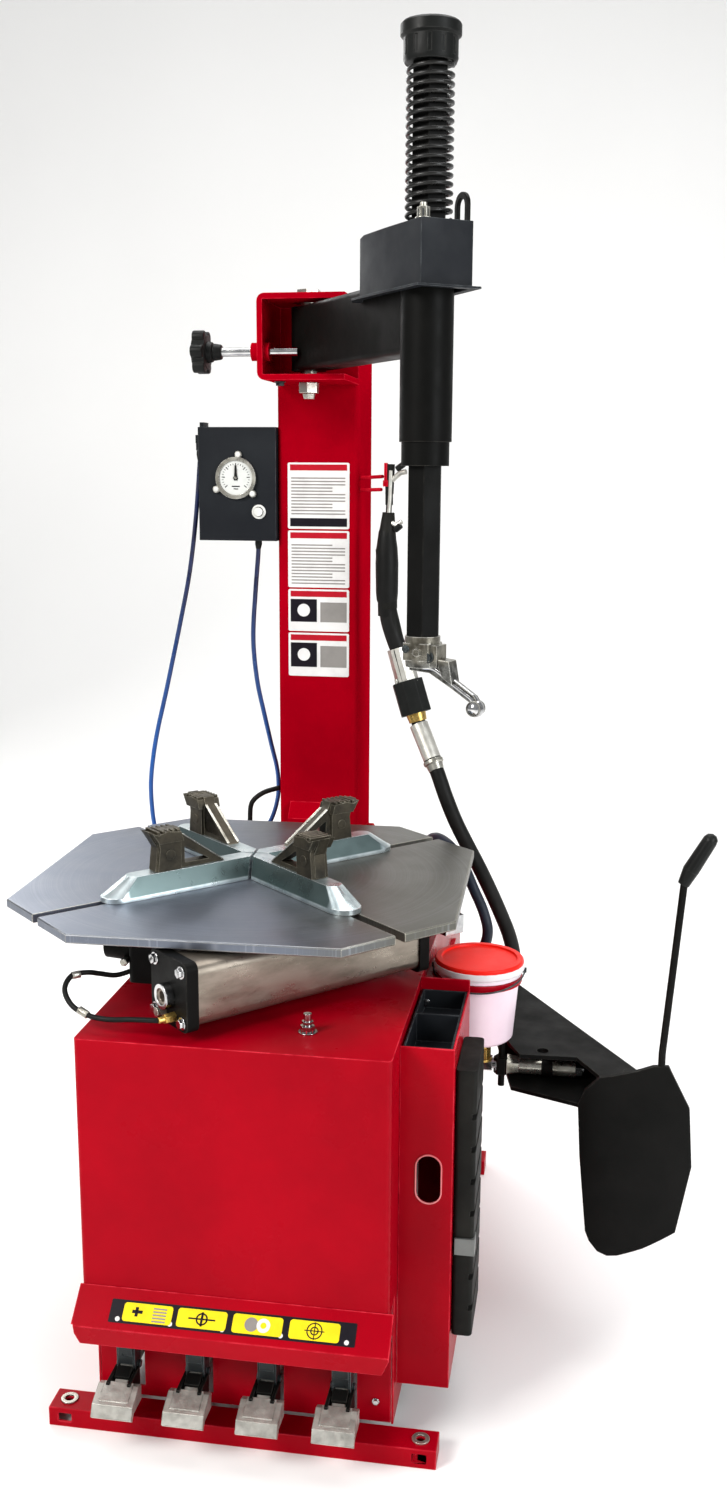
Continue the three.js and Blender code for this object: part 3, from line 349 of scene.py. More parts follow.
# ---- mesh tools -----------------------------------------------------------------------------
def soften(obj, width, clean=False):
    """Rounds the sharp edges and shades the rest smooth, with modifiers only."""
    if clean:
        weld = obj.modifiers.new("weld", "WELD")
        weld.merge_threshold = 0.00001
        flat = obj.modifiers.new("flat", "DECIMATE")
        flat.decimate_type = "DISSOLVE"
        flat.angle_limit = math.radians(0.6)
    if width > 0:
        bevel = obj.modifiers.new("bevel", "BEVEL")
        bevel.width = width
        bevel.segments = 2
        bevel.limit_method = "ANGLE"
        bevel.angle_limit = SHARP_ANGLE
        bevel.miter_outer = "MITER_ARC"
    normals = obj.modifiers.new("normals", "WEIGHTED_NORMAL")
    normals.keep_sharp = True
    obj.data.polygons.foreach_set("use_smooth", [True] * len(obj.data.polygons))


def dress(name, material, width):
    """Gives a CAD node its material and rounded edges."""
    obj = nodes[name]
    obj.data.materials.clear()
    obj.data.materials.append(material)
    if obj.data.has_custom_normals:
        bpy.context.view_layer.objects.active = obj
        bpy.ops.mesh.customdata_custom_splitnormals_clear()
    soften(obj, width, clean=True)


# How an outline's (a, b) and the distance c along the axis become a point.
PLACE = {"Z": lambda a, b, c: (a, b, c), "Y": lambda a, b, c: (a, c, b), "X": lambda a, b, c: (c, a, b)}


class Shape:
    """Collects closed forms in one mesh. ink() picks the material of what comes next.

    matrix turns the points that are given into the cabinet frame.
    """

    def __init__(self, matrix=None):
        self.bm = bmesh.new()
        self.matrix = matrix or Matrix.Identity(4)
        self.index = 0

    def ink(self, index):
        self.index = index
        return self

    def add(self, points, faces):
        verts = [self.bm.verts.new(self.matrix @ Vector(p)) for p in points]
        for face in faces:
            made = self.bm.faces.new([verts[i] for i in face])
            made.material_index = self.index
        return self

    def prism(self, outline, low, high, axis="Z"):
        """An outline pushed along an axis. Its points are X, Y for Z; X, Z for Y; Y, Z for X."""
        place = PLACE[axis]
        count = len(outline)
        points = [place(a, b, low) for a, b in outline] + [place(a, b, high) for a, b in outline]
        faces = [list(range(count))[::-1], list(range(count, 2 * count))]
        faces += [[i, (i + 1) % count, count + (i + 1) % count, count + i] for i in range(count)]
        return self.add(points, faces)

    def ring(self, outer, inner, low, high, axis="Z"):
        """Two outlines with the same number of points and the band between them."""
        place = PLACE[axis]
        count = len(outer)
        points = [place(a, b, level) for level in (low, high) for line in (outer, inner)
                  for a, b in line]
        faces = []
        for i in range(count):
            j = (i + 1) % count
            here = [i + line * count for line in range(4)]
            ahead = [j + line * count for line in range(4)]
            faces += [[here[0], ahead[0], ahead[2], here[2]], [ahead[1], here[1], here[3], ahead[3]],
                      [ahead[0], here[0], here[1], ahead[1]], [here[2], ahead[2], ahead[3], here[3]]]
        return self.add(points, faces)

    def box(self, x0, x1, y0, y1, z0, z1):
        return self.prism([(x0, y0), (x1, y0), (x1, y1), (x0, y1)], z0, z1)

    def lathe(self, profile, start, end, sides=32):
        """Turns (radius, distance along the axis) points round the line from start to end."""
        start, end = Vector(start), Vector(end)
        turn = Vector((0, 0, 1)).rotation_difference(end - start).to_matrix()
        rings = []
        points = []
        for radius, along in profile:
            ring = []
            steps = sides if radius > 1e-6 else 1
            for i in range(steps):
                angle = 2 * math.pi * i / sides
                spot = turn @ Vector((radius * math.cos(angle), radius * math.sin(angle), along))
                ring.append(len(points))
                points.append(start + spot)
            rings.append(ring)
        faces = []
        for a, b in zip(rings, rings[1:]):
            for i in range(sides):
                j = (i + 1) % sides
                quad = [a[i % len(a)], a[j % len(a)], b[j % len(b)], b[i % len(b)]]
                face = list(dict.fromkeys(quad))
                if len(face) > 2:
                    faces.append(face)
        return self.add(points, faces)

    def rod(self, start, end, radius, end_radius=None, sides=24):
        """A round bar or a cone between two points."""
        far = radius if end_radius is None else end_radius
        length = (Vector(end) - Vector(start)).length
        return self.lathe([(0, 0), (radius, 0), (far, length), (0, length)], start, end, sides)

    def bolt(self, spot, axis, size, height=None):
        """A hexagon head on a washer, standing on spot."""
        base = Vector(spot)
        axis = Vector(axis).normalized()
        height = height or size * 0.62
        self.rod(base, base + axis * 1.6, size * 1.15, sides=20)
        return self.rod(base + axis * 1.6, base + axis * (1.6 + height), size * 0.9, sides=6)

    def sweep(self, points, radius, sides=12):
        """A round bar along a line of points, with closed ends."""
        path = [Vector(p) for p in points]
        side = None
        rings = []
        spots = []
        for i, spot in enumerate(path):
            ahead = (path[min(i + 1, len(path) - 1)] - path[max(i - 1, 0)]).normalized()
            if side is None:
                side = ahead.orthogonal().normalized()
            side = (side - ahead * side.dot(ahead)).normalized()
            other = ahead.cross(side)
            ring = []
            for k in range(sides):
                angle = 2 * math.pi * k / sides
                ring.append(len(spots))
                out = side * radius * math.cos(angle) + other * radius * math.sin(angle)
                spots.append(spot + out)
            rings.append(ring)
        faces = [rings[0][::-1], rings[-1]]
        for a, b in zip(rings, rings[1:]):
            faces += [[a[k], a[(k + 1) % sides], b[(k + 1) % sides], b[k]] for k in range(sides)]
        return self.add(spots, faces)

    def build(self, name, materials, body, slot, width=0.0006):
        """Makes the object, with its edges rounded by width metres, and ties it to a body."""
        bmesh.ops.recalc_face_normals(self.bm, faces=self.bm.faces)
        for vert in self.bm.verts:
            vert.co = at(*vert.co)
        mesh = bpy.data.meshes.new(name)
        self.bm.to_mesh(mesh)
        self.bm.free()
        obj = bpy.data.objects.new(name, mesh)
        bpy.context.scene.collection.objects.link(obj)
        for material in materials if isinstance(materials, (list, tuple)) else [materials]:
            mesh.materials.append(material)
        soften(obj, width)
        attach(obj, body)
        return obj


def rounded(x0, x1, y0, y1, radius, steps=5):
    """Outline of a rectangle with round corners."""
    points = []
    for cx, cy, quarter in ((x1 - radius, y1 - radius, 0), (x0 + radius, y1 - radius, 1),
                            (x0 + radius, y0 + radius, 2), (x1 - radius, y0 + radius, 3)):
        for i in range(steps + 1):
            angle = (quarter + i / steps) * math.pi / 2
            points.append((cx + radius * math.cos(angle), cy + radius * math.sin(angle)))
    return points


def circle(x, y, radius, steps=20):
    angles = [2 * math.pi * i / steps for i in range(steps)]
    return [(x + radius * math.cos(angle), y + radius * math.sin(angle)) for angle in angles]


def smooth_path(points, per_leg=8):
    """Points along the centripetal Catmull-Rom curve through the given ones, as in the CAD."""
    points = [Vector(p) for p in points]
    ends = [points[0] * 2 - points[1], *points, points[-1] * 2 - points[-2]]
    path = []
    for k in range(1, len(ends) - 2):
        p0, p1, p2, p3 = ends[k - 1:k + 3]
        t0 = 0.0
        t1 = t0 + (p1 - p0).length ** 0.5
        t2 = t1 + (p2 - p1).length ** 0.5
        t3 = t2 + (p3 - p2).length ** 0.5
        for i in range(per_leg):
            t = t1 + (t2 - t1) * i / per_leg
            a1 = p0 * ((t1 - t) / (t1 - t0)) + p1 * ((t - t0) / (t1 - t0))
            a2 = p1 * ((t2 - t) / (t2 - t1)) + p2 * ((t - t1) / (t2 - t1))
            a3 = p2 * ((t3 - t) / (t3 - t2)) + p3 * ((t - t2) / (t3 - t2))
            b1 = a1 * ((t2 - t) / (t2 - t0)) + a2 * ((t - t0) / (t2 - t0))
            b2 = a2 * ((t3 - t) / (t3 - t1)) + a3 * ((t - t1) / (t3 - t1))
            path.append(b1 * ((t2 - t) / (t2 - t1)) + b2 * ((t - t1) / (t2 - t1)))
    path.append(points[-1])
    return path


# ---- camera, floor and light ----------------------------------------------------------------
def make_camera():
    """Turned to the left, tilted down and a little rolled, all in radians."""
    spot = (0.3158, -2.0332, 1.2876)
    turn, tilt, roll = 0.162, 0.2086, 0.0056
    forward = Vector((-math.sin(turn) * math.cos(tilt), math.cos(turn) * math.cos(tilt),
                      -math.sin(tilt)))
    level = Vector((math.cos(turn), math.sin(turn), 0))
    upright = level.cross(forward)
    right = level * math.cos(roll) + upright * math.sin(roll)
    up = upright * math.cos(roll) - level * math.sin(roll)
    data = bpy.data.cameras.new("camera")
    data.sensor_fit = "VERTICAL"
    data.sensor_height = 36
    data.lens = 33.6
    data.shift_y = 0.0112
    data.clip_end = 60
    camera = bpy.data.objects.new("camera", data)
    rotation = Matrix((right, up, -forward)).transposed().to_4x4()
    camera.matrix_world = Matrix.Translation(spot) @ rotation
    bpy.context.scene.collection.objects.link(camera)
    bpy.context.scene.camera = camera


def make_floor():
    """White floor that bends up into a wall behind the machine."""
    front, bend, radius, wall_top, half_width = -8.0, 3.5, 1.5, 7.0, 9.0
    material, tree, shader = new_material("studio_floor", (0.95, 0.945, 0.935), 0.6, specular=0.2)
    tone = mix(tree, remap(tree, noise(tree, 0.8, 2.0), 0.3, 0.7), (0.96, 0.955, 0.945),
               (0.93, 0.925, 0.915))
    tree.links.new(tone, shader.inputs["Base Color"])
    angles = [math.pi / 2 * i / 12 for i in range(1, 13)]
    profile = [(front, 0.0), (bend, 0.0)]
    profile += [(bend + radius * math.sin(angle), radius - radius * math.cos(angle)) for angle in angles]
    profile.append((bend + radius, wall_top))
    bm = bmesh.new()
    rows = [[bm.verts.new((x, y, z)) for x in (-half_width, half_width)] for y, z in profile]
    for a, b in zip(rows, rows[1:]):
        bm.faces.new((a[0], a[1], b[1], b[0])).smooth = True
    mesh = bpy.data.meshes.new("studio_sweep")
    bm.to_mesh(mesh)
    bm.free()
    mesh.materials.append(material)
    sweep = bpy.data.objects.new("studio_sweep", mesh)
    bpy.context.scene.collection.objects.link(sweep)


def make_light(name, spot, target, size, power, color=(1, 1, 1)):
    data = bpy.data.lights.new(name, "AREA")
    data.shape = "RECTANGLE"
    data.size, data.size_y = size
    data.energy = power
    data.color = color
    light = bpy.data.objects.new(name, data)
    light.location = spot
    light.rotation_euler = (Vector(target) - Vector(spot)).to_track_quat("-Z", "Y").to_euler()
    bpy.context.scene.collection.objects.link(light)


def make_world():
    world = bpy.data.worlds.new("studio")
    world.use_nodes = True
    background = world.node_tree.nodes["Background"]
    background.inputs["Color"].default_value = (0.96, 0.98, 1.0, 1)
    background.inputs["Strength"].default_value = 0.36
    bpy.context.scene.world = world
    bpy.context.scene.view_settings.view_transform = "Standard"


make_camera()
make_floor()
make_world()
make_light("key", (-2.6, -3.0, 3.4), (-0.1, 0, 0.8), (1.8, 1.8), 185, (1.0, 0.98, 0.95))
make_light("fill", (3.2, -2.2, 2.0), (0, 0, 0.8), (1.6, 2.4), 105, (0.95, 0.98, 1.0))
make_light("top", (0.2, 0.6, 4.4), (0, 0, 0.6), (3.0, 3.0), 130)
make_light("rim", (-2.4, 2.8, 2.6), (0, 0, 1.0), (1.2, 2.4), 45)

# ---- hoses ----------------------------------------------------------------------------------
# Name: diameter, material, material slot, and the CAD's route.
ROUTES = {
    "gauge_hose_left": (8, BLUE, "blue_plastic", [
        (-198, 440, 1319.6), (-199, 440, 1300), (-208, 436, 1193), (-219, 430, 1106),
        (-235, 420, 1019), (-256, 405, 911), (-277, 388, 802), (-283, 380, 720), (-270, 384, 620),
        (-226, 410, 520), (-180, 430, 471), (-151.7, 430, 470.5)]),
    "gauge_hose_right": (8, BLUE, "blue_plastic", [
        (-86, 401, 1168.6), (-87, 401, 1146), (-92, 402, 1090), (-98, 404, 1000), (-93, 409, 925),
        (-84, 419, 868), (-75, 438, 805), (-69, 460, 750), (-72, 472, 700), (-88, 474, 652),
        (-110, 468, 624), (-125, 460, 603), (-131, 457, 586), (-131, 457, 574.6)]),
    "supply_hose": (18, HOSE_NAVY, "blue_plastic", [
        (205, 380, 574.5), (205, 380, 600), (208, 375.2, 630), (216.5, 361.6, 656), (229, 341.6, 672),
        (245, 316, 678), (267, 291, 670), (289, 270, 647), (308, 253, 613), (326, 243, 577),
        (334, 240, 545), (328.5, 241.5, 517.4), (312.9, 243.5, 494.1), (289.6, 245, 478.5),
        (275, 246, 473.4), (262.9, 246, 473)]),
    "blast_hose": (25, HOSE_BLACK, "rubber", [
        (230.2, 313.8, 813.5), (241, 304.8, 790.5), (254, 299, 757), (271, 301, 715), (290, 310, 674),
        (309, 327, 632), (328, 348, 585), (347, 370, 534), (363, 389, 485), (370, 402, 440),
        (362.4, 411, 401.7), (340.7, 419, 369.3), (308.3, 426, 347.6), (276, 430, 340.6),
        (262.7, 430, 340)]),
}


def make_hose(name, diameter, material, route):
    """One hose as a curve along its whole route."""
    path = [at(*p) for p in smooth_path(route)]
    picks = [path[round(i * (len(path) - 1) / (HOSE_POINTS - 1))] for i in range(HOSE_POINTS)]
    data = bpy.data.curves.new(name, "CURVE")
    data.dimensions = "3D"
    data.bevel_depth = diameter / 2000
    data.bevel_resolution = 5
    data.resolution_u = 6
    data.use_fill_caps = True
    spline = data.splines.new("BEZIER")
    spline.bezier_points.add(len(picks) - 1)
    for point, spot in zip(spline.bezier_points, picks):
        point.co = spot
        point.handle_left_type = point.handle_right_type = "AUTO"
    hose = bpy.data.objects.new(name + "_tube", data)
    bpy.context.scene.collection.objects.link(hose)
    data.materials.append(material)
    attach(hose, "frame")
    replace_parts(hose, name)


for hose_name, (diameter, material, slot_name, route) in ROUTES.items():
    make_hose(hose_name, diameter, material, route)

# ---- CAD nodes that keep their shape --------------------------------------------------------
# Material, edge radius in metres, and the nodes that have them.
DRESSES = (
    (RED, 0.0012, ("cabinet_body", "pedal_plate", "front_hood", "foot_bar_front", "foot_bar_rear",
                   "side_box", "hinge_bracket", "pail_ring")),
    (COLUMN_RED, 0.0012, ("column", "column_head")),
    (BLACK, 0.001, ("link_plate", "swing_arm", "hex_shaft", "lock_handle", "bead_arm", "bead_blade",
                    "bead_handle")),
    (CHARCOAL, 0.0009, ("tool_tray", "lock_cover", "gauge_box", "drive_motor")),
    (TABLE_STEEL, 0.0006, ("turntable_plate", "turntable_spindle")),
    (SLIDE_ZINC, 0.0007, [f"jaw_slide_{k}" for k in range(1, 5)]),
    (CAST, 0.0008, [f"jaw_{k}" for k in range(1, 5)]),
    (ALLOY, 0.0009, [f"pedal_{k}" for k in range(1, 5)]),
    (ALLOY, 0.0008, ("gearbox",)),
    (ZINC, 0.0008, ("pivot_bolt",)),
    (ZINC, 0.0004, ("gauge_dial",)),
    (HEAD_METAL, 0.0008, ("mount_head",)),
    (CHROME, 0.0005, ("cylinder_rod_1", "cylinder_rod_2", "limit_screw", "bead_rod")),
    (BARREL, 0.0008, ("cylinder_barrel_1", "cylinder_barrel_2", "bead_cylinder")),
    (RUBBER, 0.0009, ("rest_pad", "blast_gun")),
    (PLASTIC, 0.0005, ("top_cap", "gauge_needle", "handle_grip")),
    (PAIL, 0.0004, ("pail",)),
    (LID, 0.0006, ("pail_lid",)),
    (BUTTON, 0.0005, ("release_button",)),
)

for material, width, names in DRESSES:
    for name in names:
        dress(name, material, width)


# ---- pieces added to the looks --------------------------------------------------------------
def turned_frame(angle, x=0.0, y=0.0, z=0.0):
    """A frame at a point of the cabinet frame, turned about the vertical."""
    return Matrix.Translation((x, y, z)) @ Matrix.Rotation(angle, 4, "Z")


def make_spring():
    """Wire spring between the clamp's cover and the top cap."""
    bottom, top, coil, wire, turns = 1608.4, 1802.6, 29.3, 5.8, 17
    steps = turns * 30
    points = []
    for i in range(steps + 1):
        part = i / steps
        angle = part * turns * 2 * math.pi
        rise = bottom + wire / 2 + (top - bottom - wire) * part
        points.append((SHAFT.x + coil * math.cos(angle), SHAFT.y + coil * math.sin(angle), rise))
    spring = Shape().sweep(points, wire / 2, 10).build("spring_coil", SPRING_BLACK, "arm", "black_paint", 0)
    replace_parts(spring, "lift_spring")
    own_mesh(spring)


def make_ferrules():
    """Tapered nuts and reliefs where the hoses leave: hose, end and length of the nut."""
    ends = [("gauge_hose_left", 0, 16, PLASTIC, "black_plastic"),
            ("gauge_hose_left", -1, 14, PLASTIC, "black_plastic"),
            ("gauge_hose_right", 0, 14, PLASTIC, "black_plastic"),
            ("gauge_hose_right", -1, 14, PLASTIC, "black_plastic"),
            ("supply_hose", 0, 26, ZINC, "zinc_steel"),
            ("supply_hose", -1, 26, PLASTIC, "black_plastic"),
            ("blast_hose", 0, 18, ZINC, "zinc_steel"),
            ("blast_hose", -1, 28, PLASTIC, "black_plastic")]
    for count, (name, end, length, material, slot) in enumerate(ends):
        radius = ROUTES[name][0] / 2
        path = smooth_path(ROUTES[name][3])
        if end:
            path = path[::-1]
        start = path[0]
        heading = (path[2] - start).normalized()
        wide = radius + min(4.5, radius * 0.5)
        profile = [(0, 0), (wide, 0), (wide, length * 0.32), (radius + 2, length * 0.4),
                   (radius * 1.04, length), (0, length)]
        nut = Shape().lathe(profile, start, start + heading * length, 24)
        nut.build(f"ferrule_{count + 1}", material, "frame", slot, 0.0005)


def make_hood_tiles():
    """A black strip on the hood's slope with white studs and four yellow tiles of plain shapes."""
    slope = Matrix(((1, 0, 0, 0), (0, -0.7637, -0.6454, -370.4), (0, -0.6454, 0.7637, 228), (0, 0, 0, 1)))
    film, tile, print_top, over_print = 0.6, 1.1, 1.3, 1.35
    middle = 31
    strip = Shape(slope).prism(rounded(-104, 223, 16, 46, 1.5, 2), 0.05, film)
    for left in (-92, -21, 49, 126, 212):
        strip.ink(2).prism(circle(left, middle + 10, 3.2, 10), film, 0.8)
    for x in (-53, 20, 94, 169):
        strip.ink(1).prism(rounded(x - 33, x + 33, 19, 43, 4), film, tile)
    strip.ink(0).box(-74, -60, 28, 32, tile, print_top).box(-70, -66, 24, 36, tile, print_top)
    for i in range(5):
        strip.ink(3).box(-46, -28, 23 + 4 * i, 25 + 4 * i, tile, print_top)
    strip.ink(0).box(18.5, 21.5, 22, 40, tile, print_top).box(2, 38, 30, 32, tile, print_top)
    strip.ring(circle(20, middle, 8), circle(20, middle, 6), tile, print_top)
    strip.ink(3).prism(circle(86, middle, 9), tile, print_top)
    strip.ink(2).ring(circle(102, middle, 9), circle(102, middle, 4), tile, over_print)
    strip.ink(0).ring(circle(169, middle, 10.5), circle(169, middle, 9), tile, print_top)
    strip.ring(circle(169, middle, 5.5), circle(169, middle, 4), tile, print_top)
    strip.box(156, 182, 30.4, 31.6, tile, over_print).box(168.4, 169.6, 20, 42, tile, over_print)
    strip.build("hood_tiles", [INK, YELLOW, LABEL, GREY_INK], "frame", "black_plastic", 0)


def make_labels():
    """Four blank panels down the column with plain bands."""
    film = (COLUMN_FRONT - 0.7, COLUMN_FRONT - 0.05)
    ink = (COLUMN_FRONT - 0.9, COLUMN_FRONT - 0.7)
    over_ink = (COLUMN_FRONT - 1.05, COLUMN_FRONT - 0.9)
    left, right = -29, 69
    panels = Shape()
    for top, bottom, dark in ((1300, 1190, "foot"), (1187, 1091, "none"), (1088, 1016, "head"),
                              (1013, 938, "head")):
        panels.ink(0).prism(rounded(left - 4, right + 4, bottom, top, 3), *film, "Y")
        panels.ink(1).box(left, right, *ink, top - 13, top - 3)
        line = bottom + 6
        if dark == "foot":
            panels.ink(2).box(left, right, *ink, bottom + 4, bottom + 18)
            line = bottom + 24
        if dark == "head":
            panels.ink(2).box(left, 17, *ink, bottom + 16, top - 17)
            panels.ink(0).prism(circle(-6, (bottom + top) / 2, 11), *over_ink, "Y")
            panels.ink(3).box(23, right, *ink, bottom + 16, top - 22)
            line = top
        while line < top - 22:
            panels.ink(3).box(left + 2, 66 if int(line) % 3 else 44, *ink, line, line + 2.2)
            line += 5.4
    panels.build("column_panels", [LABEL, LABEL_RED, INK, GREY_INK], "frame", "white_plastic", 0)


def make_gauge_face():
    """Scale of the gauge, its three rim studs and the collar of the white button."""
    x, z, front = -120, 1274, 382
    button_x, button_z = -81, 1218
    paper, ink = (front - 0.7, front - 0.1), (front - 0.95, front - 0.7)
    face = Shape().ring(circle(x, z, 28.6, 32), circle(x, z, 2.4, 32), *paper, "Y").ink(1)
    for i in range(25):
        angle = math.radians(-130 + 260 * i / 24)
        start, end, half = (19, 24.5, 0.7) if i % 4 == 0 else (21.5, 24.5, 0.4)
        ray = Vector((math.sin(angle), math.cos(angle)))
        side = Vector((math.cos(angle), -math.sin(angle))) * half
        corners = [Vector((x, z)) + ray * reach + side * sign
                   for reach, sign in ((start, -1), (start, 1), (end, 1), (end, -1))]
        face.prism([tuple(corner) for corner in corners], *ink, "Y")
    face.box(x - 7, x + 7, *ink, z - 15, z - 13).box(x - 4, x + 4, *ink, z - 19, z - 17.5)
    face.build("gauge_face", [DIAL_WHITE, INK], "frame", "dial_face", 0)
    studs = Shape()
    for angle in (1.45, 3.65, 5.55):
        stud_x, stud_z = x + 39 * math.cos(angle), z + 39 * math.sin(angle)
        studs.lathe([(0, 0), (4.6, 0), (4.6, 1.6), (3.4, 3.0), (0, 3.4)],
                    (stud_x, front - 1.8, stud_z), (stud_x, front - 6.8, stud_z), 16)
    studs.build("gauge_studs", BUTTON, "frame", "white_plastic", 0.0003)
    collar = Shape()
    for outer, inner, near, far in ((12, 8.3, 382.2, 384.9), (10.6, 8.6, 381.2, 382.2)):
        collar.ring(circle(button_x, button_z, outer, 24), circle(button_x, button_z, inner, 24),
                    near, far, "Y")
    collar.build("button_collar", BUTTON, "frame", "white_plastic", 0.0003)


def make_cylinder_ends():
    """Black flange, bolts, port ring, fittings and the short hose of each clamping cylinder."""
    y, z, half = CYLINDER_Y, CYLINDER_Z, 46.4
    cap = -264
    square = rounded(y - half, y + half, z - half, z + half, 10)
    for k, angle in ((1, JAW_TURN), (2, JAW_TURN + math.pi)):
        there = turned_frame(angle)
        flange = Shape(there)
        flange.ring(square, rounded(y - 13.6, y + 13.6, z - 19.6, z + 7.6, 13.4), cap, cap + 18, "X")
        flange.ring(square, rounded(y - 43.5, y + 43.5, z - 43.5, z + 43.5, 16.5), 114, 131, "X")
        flange.build(f"cylinder_flange_{k}", BLACK, "turntable", "black_paint", 0.001)
        bolts = Shape(there)
        for dy in (-34, 34):
            for dz in (-34, 34):
                bolts.bolt((cap, y + dy, z + dz), (-1, 0, 0), 7.5)
        bolts.ring(circle(y, z - 6, 17, 28), circle(y, z - 6, 11, 28), cap - 12, cap, "X")
        bolts.build(f"cylinder_bolts_{k}", CHROME, "turntable", "chrome", 0.0006)
        fitting = Shape(there).rod((cap + 1, -222, 603), (cap - 15, -222, 603), 7, sides=6)
        fitting.rod((cap - 15, -222, 603), (cap - 24, -222, 603), 4.5, 4)
        fitting.ink(1).rod((cap + 1, -196, 604), (cap - 13, -196, 604), 6.5, sides=6)
        fitting.build(f"cylinder_fitting_{k}", [BRASS, ZINC], "turntable", "zinc_steel", 0.0005)
        start = there @ Vector((cap - 23, -222, 603))
        half_turn = turned_frame(angle - JAW_TURN)
        loop = [start] + [half_turn @ Vector(p) for p in (
            (-78, -352, 598), (-110, -352, 596), (-139, -345, 597), (-165, -335, 606), (-178, -322, 622),
            (-174, -305, 634), (-158, -290, 634), (-146, -276, 628), (-128, -262, 622), (-104, -250, 628))]
        hose = Shape().sweep(smooth_path(loop, 6), 3.6, 10).ink(1)
        for i in (3, 6):
            hose.rod(loop[i], (loop[i] + loop[i + 1]) / 2, 5.4, sides=6)
        hose.build(f"cylinder_hose_{k}", [HOSE_BLACK, ZINC], "turntable", "rubber", 0)


def make_jaw_ramps():
    """Bright rubbed strips along the ramps and the toothed hooks of the jaws."""
    for k in range(4):
        ramp = Shape(turned_frame(JAW_TURN + k * math.pi / 2))
        low, high = Vector((61, 0, 729.5)), Vector((127, 0, 777))
        run = (high - low).normalized()
        lift = Vector((-run.z, 0, run.x)) * 1.6
        for side in (-8.4, 8.4):
            corners = [(low.x, low.z), (high.x, high.z), (high.x + lift.x, high.z + lift.z),
                       (low.x + lift.x, low.z + lift.z)]
            ramp.prism(corners, side - 2.2, side + 2.2, "Y")
        ramp.ink(1)
        for i in range(5):
            ramp.box(136 + 8 * i, 140 + 8 * i, -18.4, 18.4, 783, 788.8)
        ramp.rod((150, -15, 752), (150, 15, 752), 7.5)
        ramp.build(f"jaw_ramp_{k + 1}", [ZINC, CAST], f"jaw_set_{k + 1}", "cast_steel", 0.0006)


def make_table_underside():
    """Dark bracket and round cap that hang under the left of the table."""
    for k in (1, 2):
        block = Shape(turned_frame((k - 1) * math.pi))
        block.prism(rounded(-112, -62, -262, -214, 8), 612, 680)
        block.rod((-150, -232, 656), (-112, -232, 656), 19, 22, sides=28)
        block.ink(1).rod((-118, -236, 640), (-118, -262, 640), 6, sides=6)
        block.build(f"valve_block_{k}", [BLACK, ZINC], "turntable", "black_plastic", 0.0012)


def make_pedal_brackets():
    """Dark bracket on each pedal's lever, with its pin, and the black cover and cheeks below it."""
    plate = (-350, -346.5)
    for k, x in enumerate(PEDAL_X, 1):
        bracket = Shape().box(x - 12, x + 12, *plate, 98, 140).box(x - 12, x + 12, *plate, 151, 158)
        bracket.box(x - 12, x - 5.5, *plate, 140, 151).box(x + 5.5, x + 12, *plate, 140, 151)
        bracket.box(x - 13, x - 10, -350, -326, 80, 156).box(x + 10, x + 13, -350, -326, 80, 156)
        bracket.box(x - 10, x + 10, -352, -350, 112, 128)
        bracket.rod((x - 17, -336, 92), (x + 17, -336, 92), 5)
        bracket.build(f"pedal_bracket_{k}", DARK_BRACKET, f"pedal_{k}_lever", "black_paint", 0.0007)
        lever = Shape().prism([(-352, 79), (-352, 98), (-368, 91), (-368, 72)], x - 10.5, x + 10.5, "X")
        lever.box(x + 12, x + 17, -384, -342, 66, 92).box(x - 17, x - 12, -384, -342, 66, 92)
        lever.build(f"pedal_lever_cover_{k}", BLACK, f"pedal_{k}_lever", "black_paint", 0.0008)


def make_cabinet_bits():
    """Stud, bolts, washers, pale lip round the hand hole, grey clip and the bent pipe behind the column."""
    stud_x, stud_y = 141, -296
    bits = Shape().bolt((stud_x, stud_y, 574.2), (0, 0, 1), 11, 8)
    bits.rod((stud_x, stud_y, 580), (stud_x, stud_y, 600), 5.4)
    bits.rod((stud_x, stud_y, 586), (stud_x, stud_y, 590), 8, sides=6)
    for spot in ((238, -320.5, 62), (272, -86.4, 543)):
        bits.bolt(spot, (0, -1, 0), 4.5)
    bits.build("cabinet_bolts", CHROME, "frame", "chrome", 0.0005)
    washers = Shape()
    for x in (-187, 302):
        for y in (-341.5, 461):
            washers.ring(circle(x, y, 12), circle(x, y, 6.4), 28, 30.4)
    washers.build("anchor_washers", ZINC, "frame", "zinc_steel", 0.0005)
    # A paler pink ring round the hand hole.
    lip = Shape().ring(rounded(283.6, 319.4, 344.6, 415.4, 17.8, 8),
                       rounded(285.6, 317.4, 346.6, 413.4, 15.8, 8), -296.4, -294.6, "Y")
    lip.build("hand_hole_lip", PALE_LIP, "frame", "red", 0.0004)
    clip = Shape().box(336, 359, -284.4, -280.6, 268, 292).box(358, 363, -284.4, -262, 268, 292)
    clip.build("pad_clip", CLIP_GREY, "frame", "zinc_steel", 0.0006)
    route = [(-60, 440, 727), (-91, 430, 717), (-109, 425, 700), (-113, 424, 664)]
    pipe = Shape().sweep(smooth_path(route), 4.5, 12)
    pipe.build("column_pipe", HOSE_BLACK, "frame", "rubber", 0)


def make_knob():
    """Six-lobed knob of the stop screw with its stepped neck."""
    y, z, spread = SCREW_Y, SCREW_Z, 25.5
    knob = Shape().rod((-157, y, z), (-135, y, z), 27, sides=30)
    for i in range(6):
        lobe_y, lobe_z = y + spread * math.cos(math.pi * i / 3), z + spread * math.sin(math.pi * i / 3)
        knob.rod((-156, lobe_y, lobe_z), (-136, lobe_y, lobe_z), 10.4, sides=16)
    knob.rod((-160, y, z), (-157, y, z), 13, 17, 24).rod((-136, y, z), (-126, y, z), 17.5, 15, 24)
    knob.rod((-126, y, z), (-112, y, z), 13.5, 11.5, 24)
    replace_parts(knob.build("knob_lobes", PLASTIC, "stop_screw", "black_plastic", 0.0022), "limit_knob")


